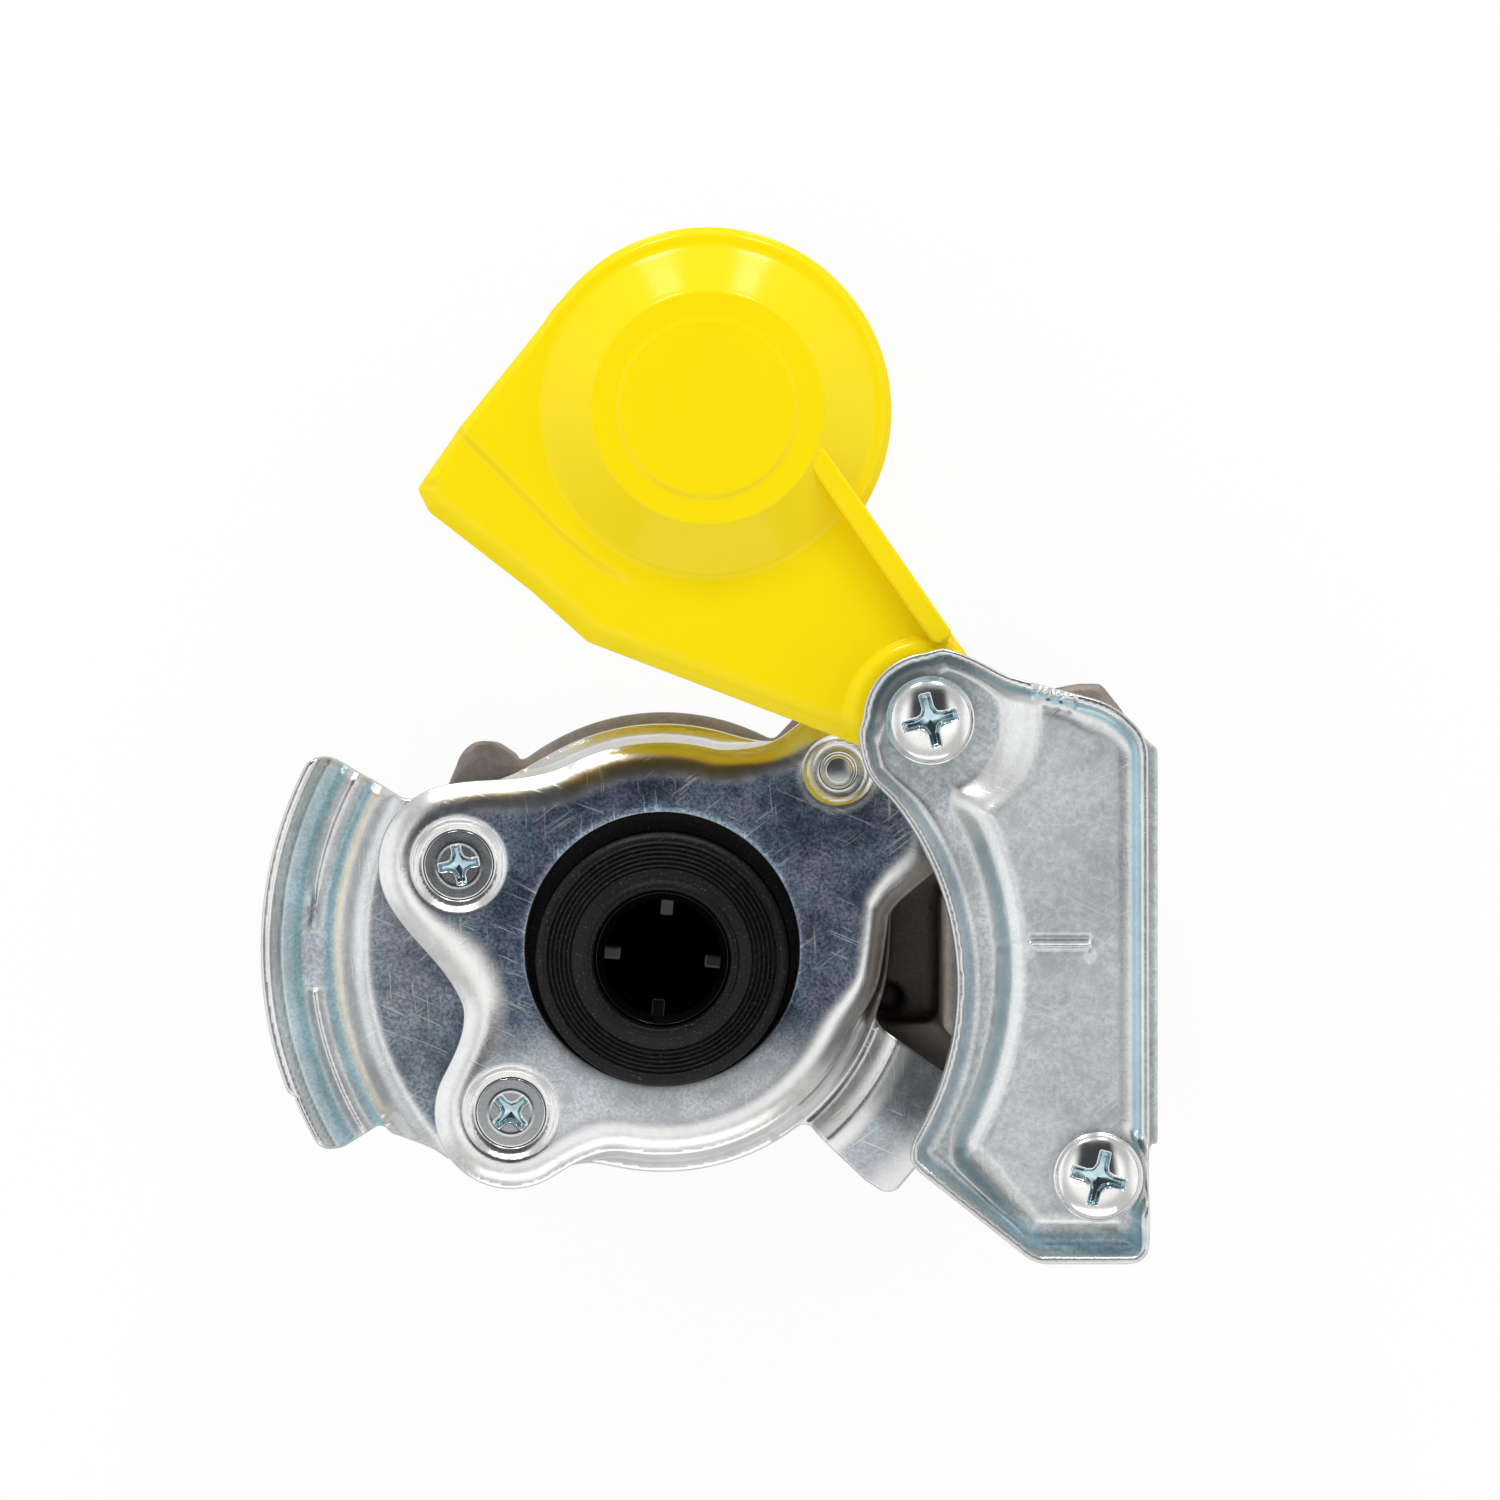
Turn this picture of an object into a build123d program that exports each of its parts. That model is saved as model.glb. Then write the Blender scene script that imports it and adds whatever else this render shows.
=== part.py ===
from build123d import *
from math import atan2, cos, degrees, hypot, radians, sin, sqrt
import os

# Palm coupling head for a lorry air brake line, all sizes in millimetres.
# The coupling axis is Z and the seal looks along +Z at the mating head.
# The origin is the middle of the hose port, where its lead-in chamfer ends, and Z levels start there.

# Levels
port_mouth = 0.0
claw_seat = 34.0             # top of the housing, under the claw plate
lip_rise = 8.0               # sealing lip, which meets the mating head's lip, over the claw seat
arm_rise = 10.0              # top of the cast arm over the claw seat
claw_slot = 4.9              # room for the mating claw between the side plate and the guide plate
guide_rise = 3.0             # height of the guide plate's plateau over its low strip
guide_rim_rise = 1.5         # height of the guide plate's upturned rim over that plateau

# Pressed sheets
claw_sheet = 2.0
retainer_sheet = 1.6
retainer_dish = 0.6          # hollow under the retainer plate, inside its border
guide_sheet = 2.0
side_sheet = 1.4

# Places seen along the axis
hinge_x, hinge_y = 34.8, 30.1
guide_screw_x, guide_screw_y = 56.2, -28.4
upper_screw_x, upper_screw_y = -26.9, 11.1
lower_screw_x, lower_screw_y = -20.0, -21.6
rivet_x, rivet_y = 23.3, 23.6

# Hose port and air passage
port_radius = 10.19          # wall of the M22 x 1.5 port
port_depth = 14.0
port_lead = 0.9              # lead-in chamfer below the mouth
drill_cone = 1.3
passage_radius = 8.0
boss_radius = 17.0
boss_flat_span = 30.0        # across the two spanner flats
boss_flat_height = 8.0
boss_height = 11.0
boss_edge = 0.8

# Housing
drum_radius = 30.3
drum_shift = 1.1             # the cast drum stands this much towards +Y
drum_foot_radius, drum_foot = 26.5, 17.0
drum_wall_base = 24.5
drum_shoulder = 29.2         # level where the rim starts to slope in to the seat
seat_radius = 24.0
seat_slope = 28.5            # radius where that slope passes under the claw plate's edge
seat_slope_drop = 3.6
chamber_seat = 22.0
screw_boss_radius = 6.6
hinge_boss_radius = 9.0
ear_x, ear_y, ear_radius = -23.9, 24.0, 3.6
ear_play = 0.1               # between the lug and the claw plate's rim above it
ear_base = 15.0
web_floor = 17.0
web_top = 22.0
ledge_top = 29.6
ledge_y = -10.2
arm_face_x = 36.9
arm_wall, arm_rib = 4.0, 3.0
drain_x, drain_y, drain_radius = 30.4, -7.2, 1.9
drain_floor = 19.0           # the small hole in the web is blind

# Seal and its support
opening_radius = 18.0        # opening in both plates over the seal
seal_sag = 1.2               # the loose seal lies this much off the axis, towards -Y
seal_radius = 16.7
seal_bore = 9.0
seal_flange_radius = 19.6
seal_flange_play = 0.2       # between the flange and the claw plate above it
seal_flange_height = 3.2
seal_body_radius = 12.6
lip_radius = 10.2
shoulder_drop, shoulder_rise = 2.4, 1.3
shoulder_edge = 0.5
seal_slack = 0.35            # play round the seal when it lies off the axis
groove_count = 5
groove_first, groove_pitch = 12.3, 0.62
groove_width, groove_depth = 0.3, 0.28
cage_flange = 2.0
cage_play = 0.25
cage_wall = 1.1
cage_drop = 3.5              # top of the cage below the sealing lip
spoke_count = 4
spoke_turn = -5.0
spoke_inner, spoke_width = 5.5, 2.0
spoke_base, spoke_top = 25.0, 34.5

# Retainer plate
retainer_radius = 27.4
retainer_border, retainer_drop = 3.1, 1.35
upper_lobe, lower_lobe, hinge_lobe = 10.7, 10.2, 9.5
screw_dish, screw_dish_depth = 6.0, 0.8
rivet_dish, rivet_dish_depth = 4.4, 0.9

# Claw plate
rim_reach = 2.4              # rim beyond the retainer plate's round body
rim_slope, rim_drop = 4.4, 3.1
claw_radius = 53.1
claw_from, claw_to = 150.0, 212.0
shoulder_to = 224.0          # the slope beside the channel runs on this far, to the lower lobe
shoulder_radius = 44.2
bead_radius, bead_width, bead_height = 46.4, 2.3, 1.5
channel_inner, channel_outer, channel_depth = 43.2, 50.4, 3.0
claw_slope_start = 39.0
claw_rim_rise = 1.6
detent_angle, detent_half = 181.5, 4.6
claw_corner = 3.0
tongue_start, tongue_end = -56.0, -16.0
tongue_valley_gap = 0.6      # from the rim to the tongue's valley
tongue_ridge_gap = 3.8
tongue_reach = 17.2          # from the rim to beyond the tongue's tip
tongue_rise, tongue_fall = 1.9, 2.0

# Guide plate
guide_inner = 38.0           # concave inner edge that hooks over the mating claw
guide_inner_x, guide_inner_y = 0.2, -4.0
guide_lobe = 8.7
guide_hook_corner, guide_top_corner, guide_foot_corner = 2.6, 6.0, 3.0
guide_stock = 80.0           # blank that the guide plate's form is drawn from
plateau_edge, plateau_edge_y = 43.5, -2.0
plateau_slope, plateau_slope_drop = 2.6, 2.6
hinge_slope, hinge_slope_gap = 4.7, 0.5

# Side plate
side_outer_x = 64.3
side_wall = 6.8              # height of the wall over the side plate's floor
side_low_y, side_high_y = -24.6, 26.4

# Swing cover, drawn in its open place
cover_x, cover_y = 6.1, 70.4
cover_radius = 23.9
cover_sheet = 2.2
cover_lip, cover_skirt = 1.8, 3.2
cover_edge = 1.5
dome_rise = 4.2
dome_base_radius, dome_top_radius = 21.6, 15.0
badge_radius, badge_rise = 11.7, 0.25
cup_outer, cup_wall = 23.0, 1.9
swing_play = 0.4             # the cover's cup swings this far above the sealing lip
hub_radius = 9.0
hub_collar, collar_rise = 10.9, 1.4
hub_play = 0.3               # between the hub and the plates above and below it
hub_bore_play = 0.06
rib_width = 2.9
rib_rise, rib_end_rise = 4.0, 2.3
rib_reach = 11.6             # the tall rib stops this far from the hinge axis

# Fasteners
guide_thread = 3.0
thread_play = 0.1            # free space round each screw in its thread
shank_play = 0.2             # free space round a screw in a sheet or a sleeve
pan_radius, pan_height, pan_length = 5.75, 4.0, 25.0
hinge_screw_length = 30.0
flat_thread, flat_head, flat_head_edge = 2.5, 4.55, 0.3
flat_length = 14.0
drive_arm, drive_width, drive_depth = 3.5, 1.25, 2.4
flat_drive_arm, flat_drive_width, flat_drive_depth = 2.6, 1.0, 1.9
bush_radius = 6.0
sleeve_radius = 5.5
rivet_radius, rivet_ring = 1.8, 2.9
rivet_length = 9.0

# Worked out from the sizes above
boss_face = port_mouth - port_lead
lip_level = claw_seat + lip_rise
arm_top = claw_seat + arm_rise
side_floor_top = arm_top + side_sheet
side_top_level = side_floor_top + side_wall
guide_underside = side_floor_top + claw_slot
retainer_base = claw_seat + claw_sheet
retainer_top = retainer_base + retainer_dish + retainer_sheet
guide_strip_top = guide_underside + guide_sheet
plateau_top = guide_strip_top + guide_rise
guide_rim_top = plateau_top + guide_rim_rise
flat_head_top = retainer_top - screw_dish_depth
seal_base = chamber_seat + cage_flange
seal_flange_top = claw_seat - seal_flange_play
seal_flange_base = seal_flange_top - seal_flange_height
seal_shoulder = lip_level - shoulder_drop
cage_top = lip_level - cage_drop
seal_offset = seal_sag + seal_slack
rim_radius = retainer_radius + rim_reach
ear_top = claw_seat - rim_drop - ear_play
tongue_valley = rim_radius + tongue_valley_gap
tongue_ridge = rim_radius + tongue_ridge_gap
cup_base = lip_level + swing_play
hub_base = retainer_top + hub_play
hub_top = guide_underside - hub_play
cover_top = hub_top - collar_rise
cover_lip_base = cover_top - cover_skirt
dome_top = cover_top + dome_rise


def polar(radius, angle):
    """Point at a radius and angle from the coupling axis."""
    return radius * cos(radians(angle)), radius * sin(radians(angle))


def disc(radius, x=0.0, y=0.0):
    """Flat round face."""
    return Pos(x, y) * Circle(radius)


def face_of(*points):
    """Flat face through the given corners."""
    return make_face(Polyline(*points, close=True))


def drawn_in(points, inset):
    """Flat face whose straight sides have all moved inwards by the inset."""
    count = len(points)
    pairs = [(points[i], points[(i + 1) % count]) for i in range(count)]
    turn = 1 if sum(a[0] * b[1] - b[0] * a[1] for a, b in pairs) > 0 else -1
    sides = []
    for (x0, y0), (x1, y1) in pairs:
        length = hypot(x1 - x0, y1 - y0)
        normal_x, normal_y = -turn * (y1 - y0) / length, turn * (x1 - x0) / length
        sides.append((normal_x, normal_y, normal_x * x0 + normal_y * y0 + inset))
    corners = []
    for (a0, b0, c0), (a1, b1, c1) in zip(sides[-1:] + sides[:-1], sides):
        spread = a0 * b1 - a1 * b0
        corners.append(((c0 * b1 - c1 * b0) / spread, (a0 * c1 - a1 * c0) / spread))
    return face_of(*corners)


def prism(face, low, high):
    """Flat face drawn up from one level to another."""
    return Pos(0, 0, low) * extrude(face, amount=high - low)


def rod(radius, low, high, x=0.0, y=0.0):
    """Upright round bar."""
    return prism(disc(radius, x, y), low, high)


def turned(*profile, arc=360.0, start=0.0):
    """Solid of revolution about the Z axis, from (radius, level) points."""
    corners = [(radius, 0, level) for radius, level in profile]
    section = make_face(Polyline(*corners, close=True))
    return Rot(0, 0, start) * revolve(section, Axis.Z, arc)


def level_edges(solid, level):
    """Edges that lie wholly at one level."""
    def flat(edge):
        box = edge.bounding_box()
        return abs(box.min.Z - level) < 1e-3 and abs(box.max.Z - level) < 1e-3
    return solid.edges().filter_by(flat)


def corners_near(face, *places):
    """Corners of a flat face nearest to the given places."""
    return [face.vertices().sort_by_distance(Vector(x, y, 0))[0] for x, y in places]


def cross_recess(arm, width, depth, top, turn):
    """Cross-shaped driver recess that narrows towards its bottom."""
    bar = Rectangle(2 * arm, width) + Rectangle(width, 2 * arm)
    mouth = Pos(0, 0, top) * Rot(0, 0, turn) * bar
    foot = Pos(0, 0, top - depth) * Rot(0, 0, turn) * scale(bar, by=0.55)
    return loft([mouth.faces()[0], foot.faces()[0]])


# Outlines


def retainer_outline(inset=0.0):
    """Retainer plate, drawn in by an inset: a round body, two screw lobes and an arm to the hinge."""
    body = Circle(retainer_radius - inset)
    body += disc(upper_lobe - inset, upper_screw_x, upper_screw_y)
    body += disc(lower_lobe - inset, lower_screw_x, lower_screw_y)
    body += disc(hinge_lobe - inset, hinge_x, hinge_y)
    neck_start = polar(retainer_radius - 0.1, -16.1)
    neck_corner = polar(retainer_radius + 2.5, 8.9)
    arm = (
        (0, 0), neck_start, neck_corner, (36.6, 10.6),
        (40.9, 24.5), (27.0, 34.7), (18.7, 30.3), polar(retainer_radius - 0.5, 65.8),
    )
    body += drawn_in(arm, inset)
    body = fillet(corners_near(body, (-20.5, 19.0)), 9.0 + inset)
    body = fillet(corners_near(body, (-28.0, 1.0), (-27.5, -14.5)), 5.0 + inset)
    body = fillet(corners_near(body, (-12.0, -25.0), (11.5, 25.5)), 6.0 + inset)
    body = fillet(corners_near(body, neck_corner), 4.0 + inset)
    body = fillet(corners_near(body, neck_start), 9.0)
    body = fillet(corners_near(body, (18.7 + inset, 30.3 - inset), (36.6 - inset, 10.6 + inset)), 5.5 - inset)
    return fillet(corners_near(body, (26.9, 35.1), (41.0, 23.4)), 5.0 + inset)


def claw_sector(radius, last):
    """Sector of the claw plate on the far side from the hinge, round to the last angle."""
    reach = 2 * radius
    return disc(radius) & face_of((0, 0), polar(reach, claw_from), (-reach, 0), polar(reach, last))


def claw_blank():
    """Outline of the claw with rounded corners, and of the shoulder that joins it to the lower lobe."""
    radius = claw_radius + 1
    claw = claw_sector(radius, claw_to)
    claw = fillet(corners_near(claw, polar(radius, claw_from), polar(radius, claw_to)), claw_corner)
    shoulder = face_of(
        (0, 0), polar(shoulder_radius, claw_to - 3), polar(shoulder_radius, claw_to), (-36.2, -24.8),
        (-32.1, -25.9), polar(claw_slope_start + 0.4, shoulder_to),
    )
    return claw + shoulder


def tongue_outline():
    """Lead-in tongue at the lower right, between the round seat and the guide plate."""
    tongue = face_of(
        (15.0, -18.0), (20.4, -24.6), (26.9, -30.9), (30.4, -33.2), (41.0, -20.6), (40.6, -18.7), (27.6, -9.4)
    )
    return fillet(corners_near(tongue, (26.9, -30.9), (30.4, -33.2)), 2.4)


def guide_outline(inset=0.0):
    """Guide plate, drawn in by an inset: a hinge lobe, a long tray and a concave inner edge."""
    side = hinge_x - guide_lobe + 0.5
    tray = drawn_in((
        (hinge_x, hinge_y), (36.6, hinge_y + guide_lobe - 0.8), (58.2, 32.2), (62.7, 28.0), (62.9, -39.7),
        (48.2, -39.7), (32.2, -27.0), (31.2, -18.0), (24.0, 0.0), (side, 20.0), (side + 0.2, 28.0),
    ), inset)
    tray -= disc(guide_inner + inset, guide_inner_x, guide_inner_y)
    tray += disc(guide_lobe - inset, hinge_x, hinge_y)
    tray = fillet(corners_near(tray, (side + inset, 23.3), (48.2, -39.7)), 5.0 - inset)
    tray = fillet(corners_near(tray, (58.2, 32.2), (62.7, 28.0)), guide_top_corner - inset)
    tray = fillet(corners_near(tray, (32.2 + inset, -27.0 + inset)), guide_hook_corner - inset)
    return fillet(corners_near(tray, (62.9 - inset, -39.7 + inset)), guide_foot_corner - inset)


def arm_outline():
    """Cast arm under the guide plate."""
    return face_of(
        (arm_face_x, ledge_y), (arm_face_x, 7.0), (46.0, 17.0), (47.6, 33.6), (54.5, 35.0), (57.6, 35.0),
        (60.6, 31.2), (62.4, 27.0), (62.4, -33.2), (59.2, -36.6), (50.6, -36.6), (41.8, -29.4), (41.8, -14.5),
    )


def cover_outline():
    """Swing cover: a disc over the seal, a grip tab and an arm to the hinge."""
    plate = face_of(
        (cover_x, cover_y), (-13.0, 84.6), (-26.2, 68.2), (-31.7, 60.3), (-30.2, 57.3), (-16.9, 47.0),
        (-9.6, 40.4), (25.8, 26.9), (hinge_x, hinge_y), (42.2, 35.2), (26.3, 58.0),
    )
    plate = fillet(corners_near(plate, (-9.6, 40.4)), 9.0)
    plate = fillet(corners_near(plate, (-31.7, 60.3), (-30.2, 57.3)), 1.2)
    return plate + disc(cover_radius, cover_x, cover_y) + disc(hub_radius, hinge_x, hinge_y)


# Pieces


def build_housing():
    """Die-cast body: port boss, drum with the seal chamber, hinge boss and the arm of the guide plate."""
    drum = Pos(0, drum_shift) * turned(
        (0, boss_height - 2), (boss_radius - 1, boss_height - 2), (drum_foot_radius, drum_foot),
        (drum_radius, drum_wall_base),
        (drum_radius, drum_shoulder), (seat_slope, claw_seat - seat_slope_drop),
        (seat_radius, claw_seat), (0, claw_seat),
    )
    boss = chamfer(level_edges(rod(boss_radius, boss_face, boss_height), boss_face), boss_edge)
    stock = 4 * boss_radius
    flats = Rectangle(stock, stock) - Rectangle(stock, boss_flat_span)
    body = drum + boss - prism(flats, boss_face - 1, boss_flat_height)

    # seats of the plates
    for x, y in ((upper_screw_x, upper_screw_y), (lower_screw_x, lower_screw_y)):
        body += rod(screw_boss_radius, drum_foot, claw_seat, x, y)
    body += rod(hinge_boss_radius, web_floor, claw_seat, hinge_x, hinge_y)
    hinge_web = face_of(
        (6.0, 16.0), (18.4, 29.4), (28.6, 36.6), (hinge_x, hinge_y), (42.4, 24.0), (35.8, 12.0),
        (28.6, 5.4), (24.6, -6.0), (0, 0),
    )
    body += prism(hinge_web, web_floor, claw_seat)
    body += prism(Pos(-0.7, 1.4) * hinge_web, web_floor, claw_seat - seat_slope_drop)

    # lug at the upper left
    lug = face_of((-31.0, 16.0), (-27.3, 25.2), (-20.4, 26.1), (-16.0, 19.0))
    lug += disc(ear_radius, ear_x, ear_y)
    body += prism(lug, ear_base, ear_top)

    # arm of the guide plate, hollow from behind, with ribs and a boss for the screw
    arm = arm_outline()
    hollow = offset(arm, -arm_wall)
    body += prism(arm, web_floor, arm_top) - prism(hollow, web_floor, arm_top - arm_wall)
    span = prism(arm, web_floor, arm_top)
    for y in (-16.0, 4.0, 22.0):
        body += span & Pos(arm_face_x, y, arm_top) * Box(60, arm_rib, 2 * arm_top)
    body += rod(screw_boss_radius, web_floor, arm_top, guide_screw_x, guide_screw_y) & span

    # web behind the window and the ledge under the tongue
    web = face_of((16.0, -20.0), (38.0, -26.0), (42.0, -29.0), (41.0, -10.0), (41.0, 12.0), (48.0, 30.0),
                  (47.5, 33.4), (36.0, 38.6), (20.0, 20.0))
    body += prism(web, web_floor, web_top)
    ledge = face_of(
        (18.0, ledge_y), (38.5, ledge_y), (42.5, -14.0), (42.5, -29.0), (37.5, -25.6), (20.0, -21.0)
    )
    body += prism(ledge, web_floor, ledge_top)
    saddle = face_of((38.0, 16.0), (46.5, 17.0), (48.0, 33.3), (36.0, 38.4))
    body += prism(saddle, web_floor, claw_seat)

    # port, passage and seal chamber
    body -= turned(
        (0, boss_face), (port_radius + port_lead, boss_face), (port_radius, port_mouth),
        (port_radius, port_depth), (passage_radius, port_depth + drill_cone), (passage_radius, chamber_seat),
        (seal_body_radius + seal_offset, chamber_seat), (seal_body_radius + seal_offset, seal_flange_base),
        (seal_flange_radius + seal_offset, seal_flange_base), (seal_flange_radius + seal_offset, claw_seat),
        (0, claw_seat),
    )

    # threads, rivet hole and drain
    for x, y in ((upper_screw_x, upper_screw_y), (lower_screw_x, lower_screw_y)):
        body -= rod(flat_thread + thread_play, flat_head_top - flat_length - 1, claw_seat, x, y)
    hinge_end, guide_end = guide_strip_top - hinge_screw_length, plateau_top - pan_length
    body -= rod(guide_thread + thread_play, hinge_end - 1, claw_seat, hinge_x, hinge_y)
    body -= rod(guide_thread + thread_play, guide_end - 1, arm_top, guide_screw_x, guide_screw_y)
    body -= rod(rivet_radius + thread_play, flat_head_top - rivet_length, claw_seat, rivet_x, rivet_y)
    body -= rod(drain_radius, drain_floor, web_top + 1, drain_x, drain_y)
    return body


def build_claw_plate():
    """Pressed plate with the channelled claw, the sloped rim under the retainer and the tongue."""
    base, top = claw_seat, claw_seat + claw_sheet
    seat = retainer_outline(0.6) + disc(rim_radius - rim_slope) + claw_sector(claw_slope_start, shoulder_to)
    plate = prism(seat, base, top)

    # rim that slopes down round the drum, clear of the seats
    inner = rim_radius - rim_slope
    rim = turned(
        (inner - 0.5, base), (inner, base), (rim_radius, base - rim_drop), (rim_radius, top - rim_drop),
        (inner, top), (inner - 0.5, top),
    )
    plate += rim - prism(seat - disc(inner - 0.4), base - 10, top + 10)

    # claw: a ramp down to the channel, a bead with a detent, and the upturned outer rim
    floor = top - channel_depth
    ramp = channel_inner - claw_slope_start
    claw = turned(
        (claw_slope_start - 0.5, top), (claw_slope_start, top), (channel_inner, floor),
        (channel_outer - 0.6, floor), (channel_outer + 0.7, floor + 0.9),
        (claw_radius - 1.2, top + claw_rim_rise),
        (claw_radius, top + claw_rim_rise - 0.5), (channel_outer + 1.6, floor - claw_sheet + 1.0),
        (channel_outer + 0.4, floor - claw_sheet), (channel_inner - 0.3, floor - claw_sheet),
        (claw_slope_start - 0.3, base), (claw_slope_start - 0.5, base),
        arc=shoulder_to - claw_from, start=claw_from,
    )
    half = bead_width / 2
    for low, high in ((claw_from, detent_angle - detent_half), (detent_angle + detent_half, claw_to)):
        claw += turned(
            (bead_radius - half, floor), (bead_radius - half / 2, floor + bead_height),
            (bead_radius + half / 2, floor + bead_height), (bead_radius + half, floor),
            arc=high - low, start=low,
        )
    plate += claw & prism(claw_blank(), base - 10, top + 10)

    # tongue: a valley beside the rim, then a ridge that falls away to the tip
    far = rim_radius + tongue_reach
    tongue = turned(
        (rim_radius - 1.2, top - rim_drop + 0.2), (tongue_valley, top - rim_drop),
        (tongue_ridge, top - rim_drop + tongue_rise),
        (far, top - rim_drop + tongue_rise - tongue_fall), (far, base - rim_drop + tongue_rise - tongue_fall),
        (tongue_ridge, base - rim_drop + tongue_rise), (tongue_valley, base - rim_drop),
        (rim_radius - 1.2, base - rim_drop + 0.2),
        arc=tongue_end - tongue_start, start=tongue_start,
    )
    plate += tongue & prism(tongue_outline() - disc(rim_radius - 1.0), base - 10, top + 10)

    plate -= rod(opening_radius, base - 1, top + 1)
    for x, y in ((upper_screw_x, upper_screw_y), (lower_screw_x, lower_screw_y)):
        plate -= flat_seat(x, y)
    plate -= rod(rivet_radius + thread_play, base - 1, top + 1, rivet_x, rivet_y)
    plate -= rod(guide_thread + shank_play, base - 1, top + 1, hinge_x, hinge_y)
    return plate


def flat_seat(x, y):
    """Countersink and clearance hole for one flat-head screw."""
    play = 0.05
    return Pos(x, y) * turned(
        (0, flat_head_top + 5), (flat_head + play, flat_head_top + 5),
        (flat_head + play, flat_head_top - flat_head_edge),
        (flat_thread + play, flat_head_top - flat_head_edge - (flat_head - flat_thread)),
        (flat_thread + play, flat_head_top - flat_length), (0, flat_head_top - flat_length),
    )


def build_retainer_plate():
    """Dished plate over the seal's flange, with a soft border, screw dishes and a rivet dish."""
    outline = retainer_outline()
    plate = prism(outline, retainer_base, retainer_top)
    plate = chamfer(level_edges(plate, retainer_top), retainer_drop, retainer_border)
    hollow = disc(retainer_radius - retainer_border)
    for x, y, radius in (
        (upper_screw_x, upper_screw_y, screw_dish + 1),
        (lower_screw_x, lower_screw_y, screw_dish + 1),
        (rivet_x, rivet_y, rivet_dish + 1),
        (hinge_x, hinge_y, hinge_lobe),
    ):
        hollow -= disc(radius, x, y)
    plate -= prism(hollow, retainer_base - 1, retainer_base + retainer_dish)
    plate -= rod(opening_radius, retainer_base - 1, retainer_top + 1)
    for x, y in ((upper_screw_x, upper_screw_y), (lower_screw_x, lower_screw_y)):
        plate -= flat_seat(x, y)
        plate -= Pos(x, y) * turned(
            (0, flat_head_top - 0.1), (flat_head + 0.4, flat_head_top - 0.1), (screw_dish, retainer_top),
            (screw_dish, retainer_top + 1), (0, retainer_top + 1),
        )
    plate -= Pos(rivet_x, rivet_y) * turned(
        (0, retainer_top - rivet_dish_depth), (rivet_dish - 0.8, retainer_top - rivet_dish_depth),
        (rivet_dish, retainer_top), (rivet_dish, retainer_top + 1), (0, retainer_top + 1),
    )
    plate -= rod(rivet_radius + thread_play, retainer_base - 1, retainer_top, rivet_x, rivet_y)
    plate -= rod(guide_thread + shank_play, retainer_base - 1, retainer_top + 1, hinge_x, hinge_y)
    return plate


def plateau_zone():
    """Raised part of the guide plate, open towards its outer edge."""
    zone = face_of((36.0, 50.0), (75.0, 50.0), (75.0, -37.4), (47.0, -37.4), (35.0, -22.9), (35.0, 10.0))
    zone -= disc(plateau_edge, 0, plateau_edge_y)
    zone -= disc(guide_lobe + hinge_slope_gap, hinge_x, hinge_y)
    return fillet(corners_near(zone, (36.84, 21.1), (37.1, -25.2), (47.0, -37.4)), 3.4)


def guide_form(low):
    """Solid below the guide plate's upper surface: a strip and a plateau that falls away to the hinge."""
    strip = prism(Pos(hinge_x, 0) * Rectangle(guide_stock, 2 * guide_stock), low, guide_strip_top)
    plateau = prism(plateau_zone(), low, plateau_top)
    plateau = chamfer(level_edges(plateau, plateau_top), plateau_slope_drop, plateau_slope)
    foot = guide_lobe + hinge_slope_gap
    fall = turned(
        (0, guide_strip_top), (foot, guide_strip_top), (foot + hinge_slope, plateau_top),
        (foot + hinge_slope, plateau_top + 1), (0, plateau_top + 1),
    )
    return strip + (plateau - Pos(hinge_x, hinge_y) * fall)


def build_guide_plate():
    """Pressed tray that hooks over the mating claw, with an upturned rim and a raised plateau."""
    outline = guide_outline()
    form = guide_form(guide_underside - 5)
    plate = prism(outline, guide_underside - 4, guide_rim_top)
    plate -= Pos(0, 0, -guide_sheet) * form
    well = prism(guide_outline(guide_sheet * 0.9), guide_underside - 4, guide_rim_top + 1)
    plate -= well - form
    plate -= rod(guide_thread + shank_play, guide_underside - 1, guide_rim_top, hinge_x, hinge_y)
    plate -= rod(guide_thread + shank_play, guide_underside - 1, guide_rim_top, guide_screw_x, guide_screw_y)
    plate -= rod(pan_radius + 0.6, plateau_top, guide_rim_top + 1, guide_screw_x, guide_screw_y)
    return plate


def build_side_plate():
    """Side plate on the arm: a floor under the guide plate and a wall along its outer side."""
    floor = face_of(
        (39.6, -9.6), (39.6, 6.2), (48.6, 16.4), (50.0, 31.4), (58.4, 31.4), (side_outer_x, side_high_y),
        (side_outer_x, side_low_y), (60.0, -35.0), (51.5, -35.0), (43.0, -28.4), (43.0, -12.5),
    )
    plate = prism(floor, arm_top, side_floor_top)
    inner_x = side_outer_x - side_sheet
    wall = face_of(
        (side_outer_x, side_low_y), (side_outer_x, side_high_y), (58.4, 31.4), (57.6, 30.3), (inner_x, 25.8),
        (inner_x, side_low_y),
    )
    plate += prism(wall, arm_top, side_top_level)
    plate = fillet(
        plate.edges().filter_by(Axis.Y).filter_by_position(Axis.X, side_outer_x - 0.01, side_outer_x + 0.01)
        .sort_by(Axis.Z)[0], 1.2)
    plate -= rod(guide_thread + shank_play, arm_top - 1, side_floor_top + 1, guide_screw_x, guide_screw_y)
    return plate


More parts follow.
